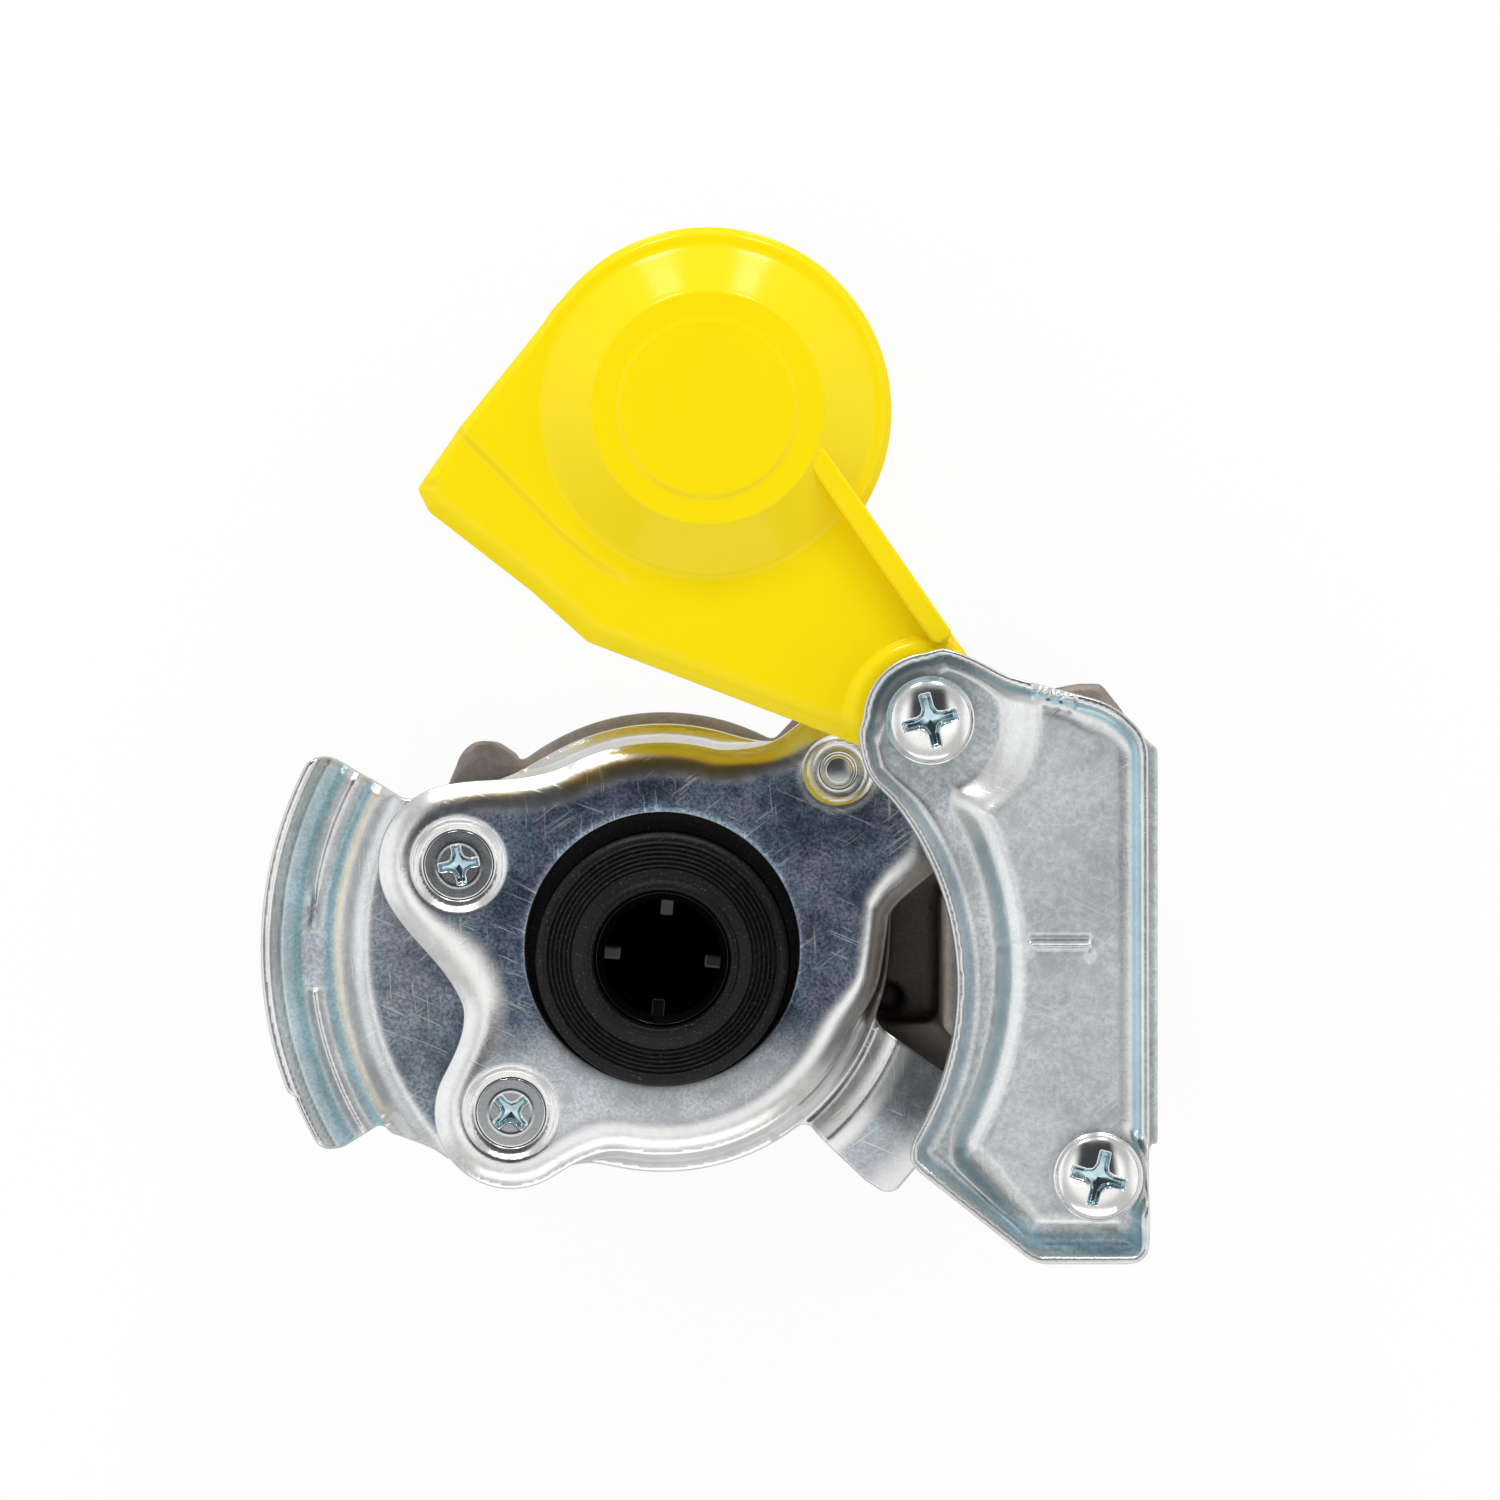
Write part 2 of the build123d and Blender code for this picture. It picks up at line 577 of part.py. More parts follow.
def build_cover():
    """Moulded dust cover: flange, dome, cup wall over the seal, rib and hinge hub."""
    outline = cover_outline()
    body = prism(outline, cover_top - cover_sheet, cover_top)
    body += prism(outline - offset(outline, -cover_lip), cover_lip_base, cover_top)
    body = fillet(level_edges(body, cover_top), cover_edge)
    axis = Pos(cover_x, cover_y)
    body += axis * turned(
        (0, cover_top - 0.1), (dome_base_radius, cover_top - 0.1), (dome_top_radius, dome_top),
        (badge_radius, dome_top), (badge_radius - 0.2, dome_top + badge_rise), (0, dome_top + badge_rise),
    )
    body += axis * rod(cup_outer, cup_base, cover_top - 1)
    body += rod(hub_radius, hub_base, hub_top, hinge_x, hinge_y)
    collar = outline & disc(hub_collar, hinge_x, hinge_y)
    body += prism(collar, cover_top - 1, hub_top)

    # stiffening rib along the straight edge, from the dome to the hub
    body += build_rib()
    cup_inner, hollow_top = cup_outer - cup_wall, cover_top - cover_sheet
    body -= axis * turned(
        (0, cup_base - 1), (cup_inner, cup_base - 1), (cup_inner, hollow_top),
        (dome_top_radius - 1.6, dome_top - cover_sheet), (0, dome_top - cover_sheet),
    )
    body -= rod(bush_radius + hub_bore_play, hub_base - 1, hub_top + 1, hinge_x, hinge_y)
    return body


def build_rib():
    """Upright rib of the cover with its top sloping down to the hub."""
    start_x, start_y = 26.3, 58.0
    end_x, end_y = 42.2, 35.2
    length = hypot(end_x - start_x, end_y - start_y)
    turn = degrees(atan2(end_y - start_y, end_x - start_x))
    stop = length - sqrt(rib_reach ** 2 - hub_radius ** 2)
    side = make_face(Polyline(
        (-9.5, 0, cover_top - 1), (-9.5, 0, cover_top + rib_rise), (stop, 0, cover_top + rib_end_rise),
        (stop + 2.5, 0, cover_top),
        (stop + 2.5, 0, cover_top - 1), close=True))
    rib = extrude(side, amount=rib_width, dir=(0, -1, 0))
    return Pos(start_x, start_y) * Rot(0, 0, turn) * rib


def build_seal():
    """Rubber seal: clamped flange, body in the chamber, grooved shoulder and raised lip."""
    shoulder, rise = seal_shoulder + shoulder_edge, shoulder_rise
    slope_start, slope_end = seal_radius - 0.9, lip_radius + 0.7

    def top_at(radius):
        """Level of the shoulder between its outer edge and the foot of the lip."""
        return shoulder + rise * ((slope_start - radius) / (slope_start - slope_end)) ** 1.4

    profile = [(seal_bore, seal_base), (seal_body_radius, seal_base), (seal_body_radius, seal_flange_base),
               (seal_flange_radius, seal_flange_base), (seal_flange_radius, seal_flange_top),
               (seal_radius, seal_flange_top), (seal_radius, seal_shoulder), (slope_start, shoulder)]
    for index in reversed(range(groove_count)):
        middle = groove_first + index * groove_pitch
        profile += [(middle + groove_width / 2, top_at(middle + groove_width / 2)),
                    (middle, top_at(middle) - groove_depth),
                    (middle - groove_width / 2, top_at(middle - groove_width / 2))]
    profile += [(slope_end, top_at(slope_end)), (lip_radius, lip_level - 0.15), (lip_radius - 0.3, lip_level),
                (seal_bore + 0.4, lip_level), (seal_bore, lip_level - 0.5)]
    return Pos(0, -seal_sag) * turned(*profile)


def build_cage():
    """Plastic support inside the seal, with four short spokes that leave the air way open."""
    outer = seal_bore - cage_play
    cage = turned(
        (outer - cage_wall, chamber_seat), (seal_body_radius - cage_play, chamber_seat),
        (seal_body_radius - cage_play, chamber_seat + cage_flange), (outer, chamber_seat + cage_flange),
        (outer, cage_top), (outer - cage_wall, cage_top),
    )
    reach = outer - cage_wall / 2
    spoke = Pos((spoke_inner + reach) / 2, 0, (spoke_base + spoke_top) / 2) * Box(
        reach - spoke_inner, spoke_width, spoke_top - spoke_base)
    for index in range(spoke_count):
        cage += Rot(0, 0, spoke_turn + index * 360 / spoke_count) * spoke
    return Pos(0, -seal_sag) * cage


def build_flat_screw(x, y, turn):
    """Flat-head cross-recessed screw."""
    screw = turned(
        (0, flat_head_top), (flat_head, flat_head_top), (flat_head, flat_head_top - flat_head_edge),
        (flat_thread, flat_head_top - flat_head_edge - (flat_head - flat_thread)),
        (flat_thread, flat_head_top - flat_length + 0.6), (flat_thread - 0.6, flat_head_top - flat_length),
        (0, flat_head_top - flat_length),
    )
    screw -= cross_recess(flat_drive_arm, flat_drive_width, flat_drive_depth, flat_head_top, turn)
    return Pos(x, y) * screw


def build_pan_screw(x, y, seat, length, turn):
    """Pan-head cross-recessed screw that bears on a sheet at the seat level."""
    head = fillet(level_edges(rod(pan_radius, seat, seat + pan_height), seat + pan_height), 2.4)
    shank = turned(
        (0, seat + 1), (guide_thread, seat + 1), (guide_thread, seat - length + 0.8),
        (guide_thread - 0.8, seat - length), (0, seat - length),
    )
    screw = head + shank - cross_recess(drive_arm, drive_width, drive_depth, seat + pan_height, turn)
    return Pos(x, y) * screw


def build_rivet():
    """Locating rivet that keeps both plates in register."""
    top = retainer_top - 0.1
    seat = retainer_top - rivet_dish_depth
    rivet = turned(
        (0, top), (rivet_radius, top), (rivet_radius, top - 0.4), (rivet_radius + 0.4, top - 0.4),
        (rivet_radius + 0.5, top), (rivet_ring - 0.15, top), (rivet_ring, seat),
        (rivet_radius, seat), (rivet_radius, seat - rivet_length + 1.5), (0, seat - rivet_length + 1.5),
    )
    return Pos(rivet_x, rivet_y) * rivet


def build_sleeve(radius, low, high, x, y):
    """Round distance sleeve round a guide screw."""
    return rod(radius, low, high, x, y) - rod(guide_thread + shank_play, low - 1, high + 1, x, y)


pieces = {
    "housing": build_housing,
    "claw_plate": build_claw_plate,
    "retainer_plate": build_retainer_plate,
    "guide_plate": build_guide_plate,
    "side_plate": build_side_plate,
    "cover": build_cover,
    "seal_ring": build_seal,
    "seal_support": build_cage,
    "upper_plate_screw": lambda: build_flat_screw(upper_screw_x, upper_screw_y, 10),
    "lower_plate_screw": lambda: build_flat_screw(lower_screw_x, lower_screw_y, 42),
    "hinge_screw": lambda: build_pan_screw(hinge_x, hinge_y, guide_strip_top, hinge_screw_length, 14),
    "guide_screw": lambda: build_pan_screw(guide_screw_x, guide_screw_y, plateau_top, pan_length, -15),
    "hinge_bush": lambda: build_sleeve(bush_radius, retainer_top, guide_underside, hinge_x, hinge_y),
    "distance_sleeve": lambda: build_sleeve(
        sleeve_radius, side_floor_top, plateau_top - guide_sheet, guide_screw_x, guide_screw_y),
    "locating_rivet": build_rivet,
}

os.makedirs("parts", exist_ok=True)
for name, build in pieces.items():
    export_step(build(), f"parts/{name}.step")
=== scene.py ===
from math import atan2, ceil, cos, hypot, pi, radians, sin

import bmesh
import bpy
import numpy as np
from bpy.props import FloatProperty, FloatVectorProperty, PointerProperty
from bpy.types import Operator, Panel, PropertyGroup
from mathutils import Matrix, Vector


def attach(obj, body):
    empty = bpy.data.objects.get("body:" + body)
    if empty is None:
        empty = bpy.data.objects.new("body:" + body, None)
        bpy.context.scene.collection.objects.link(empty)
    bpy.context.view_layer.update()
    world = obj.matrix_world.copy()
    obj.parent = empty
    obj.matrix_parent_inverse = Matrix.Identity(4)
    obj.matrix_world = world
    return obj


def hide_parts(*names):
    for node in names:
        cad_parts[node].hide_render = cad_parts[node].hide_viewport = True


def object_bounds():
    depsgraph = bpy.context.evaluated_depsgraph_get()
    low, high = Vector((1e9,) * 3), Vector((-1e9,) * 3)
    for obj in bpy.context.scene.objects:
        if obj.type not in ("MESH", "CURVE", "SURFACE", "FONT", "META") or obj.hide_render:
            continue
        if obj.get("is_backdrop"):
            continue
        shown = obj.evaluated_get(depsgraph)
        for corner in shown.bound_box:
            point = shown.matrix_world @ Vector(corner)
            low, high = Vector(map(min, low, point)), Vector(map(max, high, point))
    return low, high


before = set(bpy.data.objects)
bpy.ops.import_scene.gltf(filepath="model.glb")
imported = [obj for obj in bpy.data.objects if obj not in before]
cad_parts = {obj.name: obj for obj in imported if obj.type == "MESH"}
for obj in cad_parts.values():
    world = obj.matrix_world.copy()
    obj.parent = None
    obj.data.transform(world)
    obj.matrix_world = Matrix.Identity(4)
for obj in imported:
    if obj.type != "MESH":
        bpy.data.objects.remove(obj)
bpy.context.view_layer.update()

bl_info = {
    "name": "Air brake coupler looks",
    "version": (1, 0, 0),
    "blender": (4, 5, 0),
    "location": "3D View > Sidebar > Coupler",
    "description": "Builds the visible surfaces of an air brake coupler head around its frame",
    "category": "Object",
}

# The shapes are worked out in millimetres, and the meshes are written in metres.
MM = 0.001

# Levels along the coupling axis, from the mouth of the hose port
CLAW_BASE, CLAW_TOP = 34.0, 36.0
RETAINER_BASE, RETAINER_TOP = 36.0, 38.2
STRIP_BASE, STRIP_TOP = 50.3, 52.3
PLATEAU_TOP, GUIDE_RIM_TOP = 55.3, 56.8
LIP_LEVEL = 42.0

# Places seen along the axis
HINGE = (34.8, 30.1)
GUIDE_SCREW = (56.2, -28.4)
UPPER_SCREW = (-26.9, 11.1)
LOWER_SCREW = (-20.0, -21.6)
RIVET = (23.3, 23.6)
COVER = (6.1, 70.4)
SEAL = (0.0, -1.2)
LANCE = (51.4, 1.2)
NUB = (50.7, 34.2)           # torn stub of the carrier strip on the guide plate's rim
RIB_START, RIB_END = (26.3, 58.0), (42.2, 35.2)

# Sizes that several pieces share
FLAT_HEAD = 4.55             # radius of the flat screws' heads
SEAT_DEPTH = 0.8             # how deep the flat screws' heads lie in the retainer plate
RIVET_HOLE, HINGE_HOLE = 1.9, 3.2
BORE_SHADOW_RADIUS = 15.0             # floor within this distance of the axis lies under the housing's boss and is painted black, as the shadow seen down the bore
BORE_SHADE = 12.0             # the air passage inside this radius is painted dark, as painted shade in the bore

# Places in metres
SHADED_POCKET_MIDDLE = (0.036, -0.004, 0.026)  # the open pocket under the guide plate, darkened with painted shade
LIT_PLACE = (0.01, 0.02, 0.04)          # what the lamps face
CAMERA_PLACE = (0.0116, 0.0263, 0.688)
CAMERA_LENS = 118.2                     # focal length in millimetres

WHITE = (1.0, 1.0, 1.0)
LOOKS = {                    # material of each slot
    "cast_housing": "Die casting", "claw_steel": "Claw zinc", "retainer_steel": "Retainer zinc",
    "guide_steel": "Guide zinc", "screw_steel": "Bright fastener", "cover_plastic": "Yellow moulding",
    "seal_rubber": "Seal rubber", "support_plastic": "Support plastic",
}


def length(name, description, size):
    """Size that a user can change, given here in millimetres."""
    return FloatProperty(name=name, description=description, default=size * MM, min=0.0, unit="LENGTH", precision=5)


def linear(red, green, blue):
    """Linear colour of a display colour given from 0 to 255."""
    shares = [value / 255 for value in (red, green, blue)]
    return tuple(s / 12.92 if s <= 0.04045 else ((s + 0.055) / 1.055) ** 2.4 for s in shares)


def colour(name, description, red, green, blue):
    """Colour that a user can change."""
    return FloatVectorProperty(name=name, description=description, default=linear(red, green, blue),
                               subtype="COLOR", size=3, min=0.0, max=1.0)


class CouplerPlateSizes(PropertyGroup):
    opening: length("Opening radius", "Radius of the opening over the seal", 18.0)
    retainer: length("Retainer radius", "Radius of the round part of the retainer plate", 27.4)
    retainer_border: length("Retainer border", "Width of the soft bend along the retainer's edge", 4.3)
    rim: length("Rim radius", "Outer radius of the claw plate's sloped rim", 29.8)
    claw: length("Claw radius", "Outer radius of the claw", 53.1)
    bead: length("Bead radius", "Radius of the raised bead in the claw's channel", 46.4)
    screw_dish: length("Screw dish", "Radius of the dish round each flat screw", 6.0)


class CouplerGuideSizes(PropertyGroup):
    inner: length("Inner radius", "Radius of the concave edge that hooks over the mating claw", 38.0)
    lobe: length("Lobe radius", "Radius of the round end at the hinge", 8.7)
    rim_wall: length("Rim wall", "Width of the rim's flat top", 0.9)
    rim_bend: length("Rim bend", "Width of the hollow bend inside the rim", 2.4)
    corner: length("Corner reach", "How far the upper corners' rounding runs along the sides", 2.7)
    plateau: length("Plateau edge", "Radius of the plateau's inner edge", 43.5)


class CouplerCoverSizes(PropertyGroup):
    radius: length("Cover radius", "Radius of the cover's round flange", 23.9)
    dome: length("Dome radius", "Radius of the dome's foot", 21.6)
    crown: length("Crown radius", "Radius of the dome's flat crown", 15.0)
    badge: length("Badge radius", "Radius of the slightly raised middle", 11.7)
    hub: length("Hub radius", "Radius of the hinge hub", 9.0)


class CouplerColours(PropertyGroup):
    cover: colour("Cover", "Moulded plastic of the cover", 253, 226, 12)
    zinc: colour("Zinc", "Bright zinc plating", 222, 222, 220)
    zinc_dark: colour("Dark zinc", "Dull flats of the zinc plating", 112, 128, 144)
    zinc_violet: colour("Violet zinc", "Faint second colour of the dull flats", 120, 123, 142)
    zinc_hazy: colour("Hazy zinc", "Milky flats of the zinc plating", 204, 211, 214)
    # The blue chromate colour is real, but it is painted only into the hollows, standing in for their inter-reflection
    # and shade
    valley: colour("Valley tint", "Blue-green passivation in the hollows", 190, 222, 232)
    # Yellow passivation lines along the claw's hollows; the same tint paints the cover's golden reflection on the
    # retainer
    fringe: colour("Fringe tint", "Yellow passivation along the hollows", 252, 216, 128)
    cast: colour("Casting", "Die-cast housing", 158, 149, 142)
    rubber: colour("Rubber", "Seal", 11, 11, 12)
    support: colour("Support", "Moulded plastic inside the seal", 7, 7, 8)


# Distance fields, negative inside, and height functions


def away(x, y, place):
    """Distance to a place."""
    return np.hypot(x - place[0], y - place[1])


def about_axis(x, y):
    """Radius and angle in degrees about the coupling axis."""
    return np.hypot(x, y), np.degrees(np.arctan2(y, x)) % 360


def round_field(x, y, centre, radius):
    """Distance to a circle."""
    return away(x, y, centre) - radius


def box_field(x, y, centre, half):
    """Distance to an upright box of those half widths."""
    return np.maximum(np.abs(x - centre[0]) - half[0], np.abs(y - centre[1]) - half[1])


def polygon_field(x, y, points):
    """Distance to a polygon."""
    closed = points + points[:1]
    inside = np.zeros(np.shape(x), bool)
    for (ax, ay), (bx, by) in zip(closed, closed[1:]):
        if ay != by:
            inside ^= ((ay <= y) != (by <= y)) & (x < ax + (y - ay) * (bx - ax) / (by - ay))
    nearest = line_distance(x, y, closed)
    return np.where(inside, -nearest, nearest)


def drawn_in(points, inset):
    """Polygon whose sides have all moved inwards by the inset."""
    pairs = list(zip(points, points[1:] + points[:1]))
    turn = 1 if sum(a[0] * b[1] - b[0] * a[1] for a, b in pairs) > 0 else -1
    sides = []
    for (ax, ay), (bx, by) in pairs:
        span = hypot(bx - ax, by - ay)
        nx, ny = -turn * (by - ay) / span, turn * (bx - ax) / span
        sides.append((nx, ny, nx * ax + ny * ay + inset))
    corners = []
    for (a0, b0, c0), (a1, b1, c1) in zip(sides[-1:] + sides[:-1], sides):
        spread = a0 * b1 - a1 * b0
        corners.append(((c0 * b1 - c1 * b0) / spread, (a0 * c1 - a1 * c0) / spread))
    return corners


def softened(points, radius, steps=4, closed=True):
    """Points with rounded corners, where the rounding reaches that far along both sides."""
    result = []
    count = len(points)
    reaches = radius if isinstance(radius, tuple) else (radius,) * count
    for i, corner in enumerate(points):
        here = np.array(corner, float)
        if (not closed and i in (0, count - 1)) or reaches[i] == 0:
            result.append(tuple(here))
            continue
        before, after = np.array(points[i - 1], float), np.array(points[(i + 1) % count], float)
        back, ahead = np.linalg.norm(before - here), np.linalg.norm(after - here)
        reach = min(reaches[i], back / 2.05, ahead / 2.05)
        start = here + (before - here) / back * reach
        end = here + (after - here) / ahead * reach
        for s in np.linspace(0, 1, steps + 1):
            result.append(tuple((1 - s) ** 2 * start + 2 * s * (1 - s) * here + s ** 2 * end))
    return result


def line_distance(x, y, points):
    """Distance to an open run of straight lines."""
    nearest = np.full(np.shape(x), np.inf)
    for (ax, ay), (bx, by) in zip(points, points[1:]):
        ex, ey = bx - ax, by - ay
        along = np.clip(((x - ax) * ex + (y - ay) * ey) / (ex * ex + ey * ey), 0, 1)
        nearest = np.minimum(nearest, np.hypot(x - ax - along * ex, y - ay - along * ey))
    return nearest


def polar(radius, angle):
    """Point at a radius and angle from the coupling axis."""
    return radius * cos(radians(angle)), radius * sin(radians(angle))


def soft_polygon_field(x, y, points, radius):
    """Distance to a polygon with rounded outer corners."""
    return polygon_field(x, y, drawn_in(points, radius)) - radius


def joined(first, second, fillet):
    """Union of two fields with a fillet of that radius in the inner corners."""
    if fillet <= 0:
        return np.minimum(first, second)
    u, v = np.maximum(fillet - first, 0), np.maximum(fillet - second, 0)
    return np.maximum(fillet, np.minimum(first, second)) - np.hypot(u, v)


def carved(first, second, fillet=0.0):
    """First field without the second, with outer corners rounded."""
    return -joined(-first, second, fillet)


def ease(value):
    """Smooth step from 0 to 1."""
    share = np.clip(value, 0, 1)
    return share * share * (3 - 2 * share)


def bump(value):
    """Smooth hill, 1 in the middle and 0 from -1 and 1 outwards."""
    return ease(1 - np.abs(value))


def bent(value, softness, *corners):
    """Height along a run of straight slopes whose bends are softened over that width."""
    places, heights = zip(*corners)
    samples = np.linspace(-1, 1, 9)
    weights = (1 - samples ** 2) + 0.05
    total = sum(w * np.interp(value + softness * s, places, heights) for s, w in zip(samples, weights))
    return total / weights.sum()


# Mesh kit: a shape is (vertices in mm, faces, values of each vertex)

MARKS = ("valley", "flat", "haze", "edge", "fringe")
NEAR_SHARE = 0.3             # grid points this share of a step from the outline move onto it
EDGE_RINGS = 3               # rings of faces round each half of a rounded edge
NUDGE = 0.02                 # step for the direction that a field falls in
UNDERSIDE_TINT = 0.3         # how much of the hollows' painted reflection tint the lower side has


def marked(points, **values):
    """Values of all marks at the points, zero where not given."""
    count = len(points)
    return {name: np.broadcast_to(np.asarray(values.get(name, 0.0), float), count).copy() for name in MARKS}


def trimmed_grid(inside, area, step, edge):
    """Places and faces of a square grid, cut off along the line that runs the edge's width inside the field."""
    x0, y0, x1, y1 = area
    columns, rows = int(ceil((x1 - x0) / step)) + 1, int(ceil((y1 - y0) / step)) + 1
    gx, gy = np.meshgrid(x0 + step * np.arange(columns), y0 + step * np.arange(rows))
    field = inside(gx, gy) + edge
    slope_y, slope_x = np.gradient(field, step)
    steep = np.maximum(slope_x ** 2 + slope_y ** 2, 0.1)
    near = np.abs(field) < NEAR_SHARE * step
    gx = np.where(near, gx - field * slope_x / steep, gx).ravel()
    gy = np.where(near, gy - field * slope_y / steep, gy).ravel()
    field = np.where(near, 0.0, field).ravel()
    grid = np.arange(columns * rows).reshape(rows, columns)
    cells = np.stack([grid[:-1, :-1], grid[:-1, 1:], grid[1:, 1:], grid[1:, :-1]], -1).reshape(-1, 4)
    whole = (field[cells] <= 0).all(1)
    split = ~whole & (field[cells] < 0).any(1)
    cut, crossings = [], {}
    for corners in cells[split].tolist():
        ring = []
        for a, b in zip(corners, corners[1:] + corners[:1]):
            if field[a] <= 0:
                ring.append(a)
            if field[a] * field[b] < 0:
                ring.append(crossings.setdefault((min(a, b), max(a, b)), len(gx) + len(crossings)))
        if len(ring) > 2:
            cut.append(ring)
    if crossings:
        first, last = np.array(list(crossings)).T
        share = field[first] / (field[first] - field[last])
        gx, gy = (np.concatenate([g, g[first] + share * (g[last] - g[first])]) for g in (gx, gy))
    used = np.unique(np.concatenate([cells[whole].ravel(), *cut]))
    renumber = np.full(len(gx), -1)
    renumber[used] = np.arange(len(used))
    return gx[used], gy[used], [renumber[face].tolist() for face in cells[whole].tolist() + cut]


def relief(inside, top, bottom, area, step, edge, marks=None):
    """Closed sheet between two height functions within a distance field, with rounded edges."""
    px, py, faces = trimmed_grid(inside, area, step, edge)
    count = len(px)
    sides = [pair for face in faces for pair in zip(face, face[1:] + face[:1])]
    known = set(sides)
    starts, ends = np.array([(a, b) for a, b in sides if (b, a) not in known]).T
    rim = np.unique(starts)
    rx, ry = px[rim], py[rim]
    nx = (inside(rx + NUDGE, ry) - inside(rx - NUDGE, ry)) / (2 * NUDGE)
    ny = (inside(rx, ry + NUDGE) - inside(rx, ry - NUDGE)) / (2 * NUDGE)
    size = np.maximum(np.hypot(nx, ny), 1e-6)
    nx, ny = nx / size, ny / size
    high, low = top(px, py), bottom(px, py)
    layers = [np.column_stack([px, py, high]), np.column_stack([px, py, low])]
    radius = np.minimum(edge, (high[rim] - low[rim]) / 2.05)
    for level, sign in ((high[rim], -1), (low[rim], 1)):
        for ring in range(EDGE_RINGS):
            turn = (ring + 1) / EDGE_RINGS * pi / 2
            reach = edge * sin(turn)
            layers.append(np.column_stack([rx + nx * reach, ry + ny * reach,
                                           level + sign * radius * (1 - cos(turn))]))

    def chain(points):
        """Vertices from the upper to the lower surface round the edge at points of the rim."""
        order = [*range(EDGE_RINGS), *range(2 * EDGE_RINGS - 1, EDGE_RINGS - 1, -1)]
        edge_points = [2 * count + ring * len(rim) + np.searchsorted(rim, points) for ring in order]
        return np.stack([points, *edge_points, points + count], 1)

    first, last = chain(starts), chain(ends)
    walls = np.stack([last[:, :-1], first[:, :-1], first[:, 1:], last[:, 1:]], -1).reshape(-1, 4)
    vertices = np.concatenate(layers)
    values = marked(vertices)
    for name, function in (marks or {}).items():
        values[name] = np.asarray(function(vertices[:, 0], vertices[:, 1]), float)
    values["edge"][2 * count:] = 1.0
    values["valley"][count:2 * count] *= UNDERSIDE_TINT
    return vertices, faces + [[i + count for i in reversed(face)] for face in faces] + walls.tolist(), values


def lathe(profile, centre, sides, closed=True):
    """Surface of revolution about an upright axis, from (radius, level) points."""
    angles = np.arange(sides) * 2 * pi / sides
    rings = [np.column_stack([centre[0] + r * np.cos(angles), centre[1] + r * np.sin(angles),
                              np.full(sides, z)]) for r, z in profile]
    count = len(profile)
    faces = [[i * sides + k, i * sides + n, j * sides + n, j * sides + k]
             for i, j in zip(range(count if closed else count - 1), [*range(1, count), 0])
             for k, n in zip(range(sides), [*range(1, sides), 0])]
    vertices = np.concatenate(rings)
    return vertices, faces, marked(vertices)


def level_at(height):
    """Height function of a level surface."""
    return lambda x, y: height + 0 * x


def ring_section(inner, outer, low, high):
    """Profile of a plain ring."""
    return [(inner, low), (outer, low), (outer, high), (inner, high)]


def placed(shape, centre, turn):
    """Shape turned about its origin and moved to a place."""
    x, y = shape[0][:, 0].copy(), shape[0][:, 1].copy()
    shape[0][:, 0] = centre[0] + x * cos(turn) - y * sin(turn)
    shape[0][:, 1] = centre[1] + x * sin(turn) + y * cos(turn)
    return shape


def merged(*shapes):
    """Several shapes as one."""
    points, polygons, marks = zip(*shapes)
    starts = np.cumsum([0] + [len(group) for group in points]).tolist()
    faces = [[i + start for i in face] for start, group in zip(starts, polygons) for face in group]
    return np.concatenate(points), faces, {name: np.concatenate([group[name] for group in marks]) for name in MARKS}


def linked(name, data):
    """New object in the scene."""
    item = bpy.data.objects.new(name, data)
    bpy.context.scene.collection.objects.link(item)
    return item


def store_marks(mesh, marks):
    """Writes the values of each vertex to a mesh."""
    for mark, numbers in marks.items():
        mesh.attributes.new(mark, "FLOAT", "POINT").data.foreach_set("value", numbers.astype(np.float32))


def set_up(item, slot, node, body):
    """Gives an object its material and slot, and lets it stand for a frame node on a body."""
    item.data.shade_smooth()
    item.data.materials.append(bpy.data.materials[LOOKS[slot]])
    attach(item, body)
    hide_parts(node)


def piece(name, shape, slot, node, body="head"):
    """Object of a shape that stands for a frame node."""
    vertices, faces, marks = shape
    mesh = bpy.data.meshes.new(name)
    mesh.from_pydata((vertices * MM).tolist(), [], faces)
    store_marks(mesh, marks)
    mesh.validate()
    made = bmesh.new()
    made.from_mesh(mesh)
    bmesh.ops.remove_doubles(made, verts=made.verts, dist=1e-7)
    bmesh.ops.recalc_face_normals(made, faces=made.faces)
    made.to_mesh(mesh)
    made.free()
    set_up(linked(name, mesh), slot, node, body)


def softened_copy(name, node, slot, voxel, rounds, **values):
    """Copy of a frame node whose edges are rounded like a casting's or a bent sheet's."""
    item = linked(name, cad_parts[node].data.copy())
    item.data.materials.clear()
    cells = item.modifiers.new("Cells", "REMESH")
    cells.mode, cells.voxel_size = "VOXEL", voxel * MM
    smooth = item.modifiers.new("Smooth", "SMOOTH")
    smooth.factor, smooth.iterations = 0.5, rounds
    mesh = bpy.data.meshes.new_from_object(item.evaluated_get(bpy.context.evaluated_depsgraph_get()))
    item.modifiers.clear()
    item.data = mesh
    store_marks(mesh, marked(mesh.vertices, **values))
    set_up(item, slot, node, "head")


# Shader kit


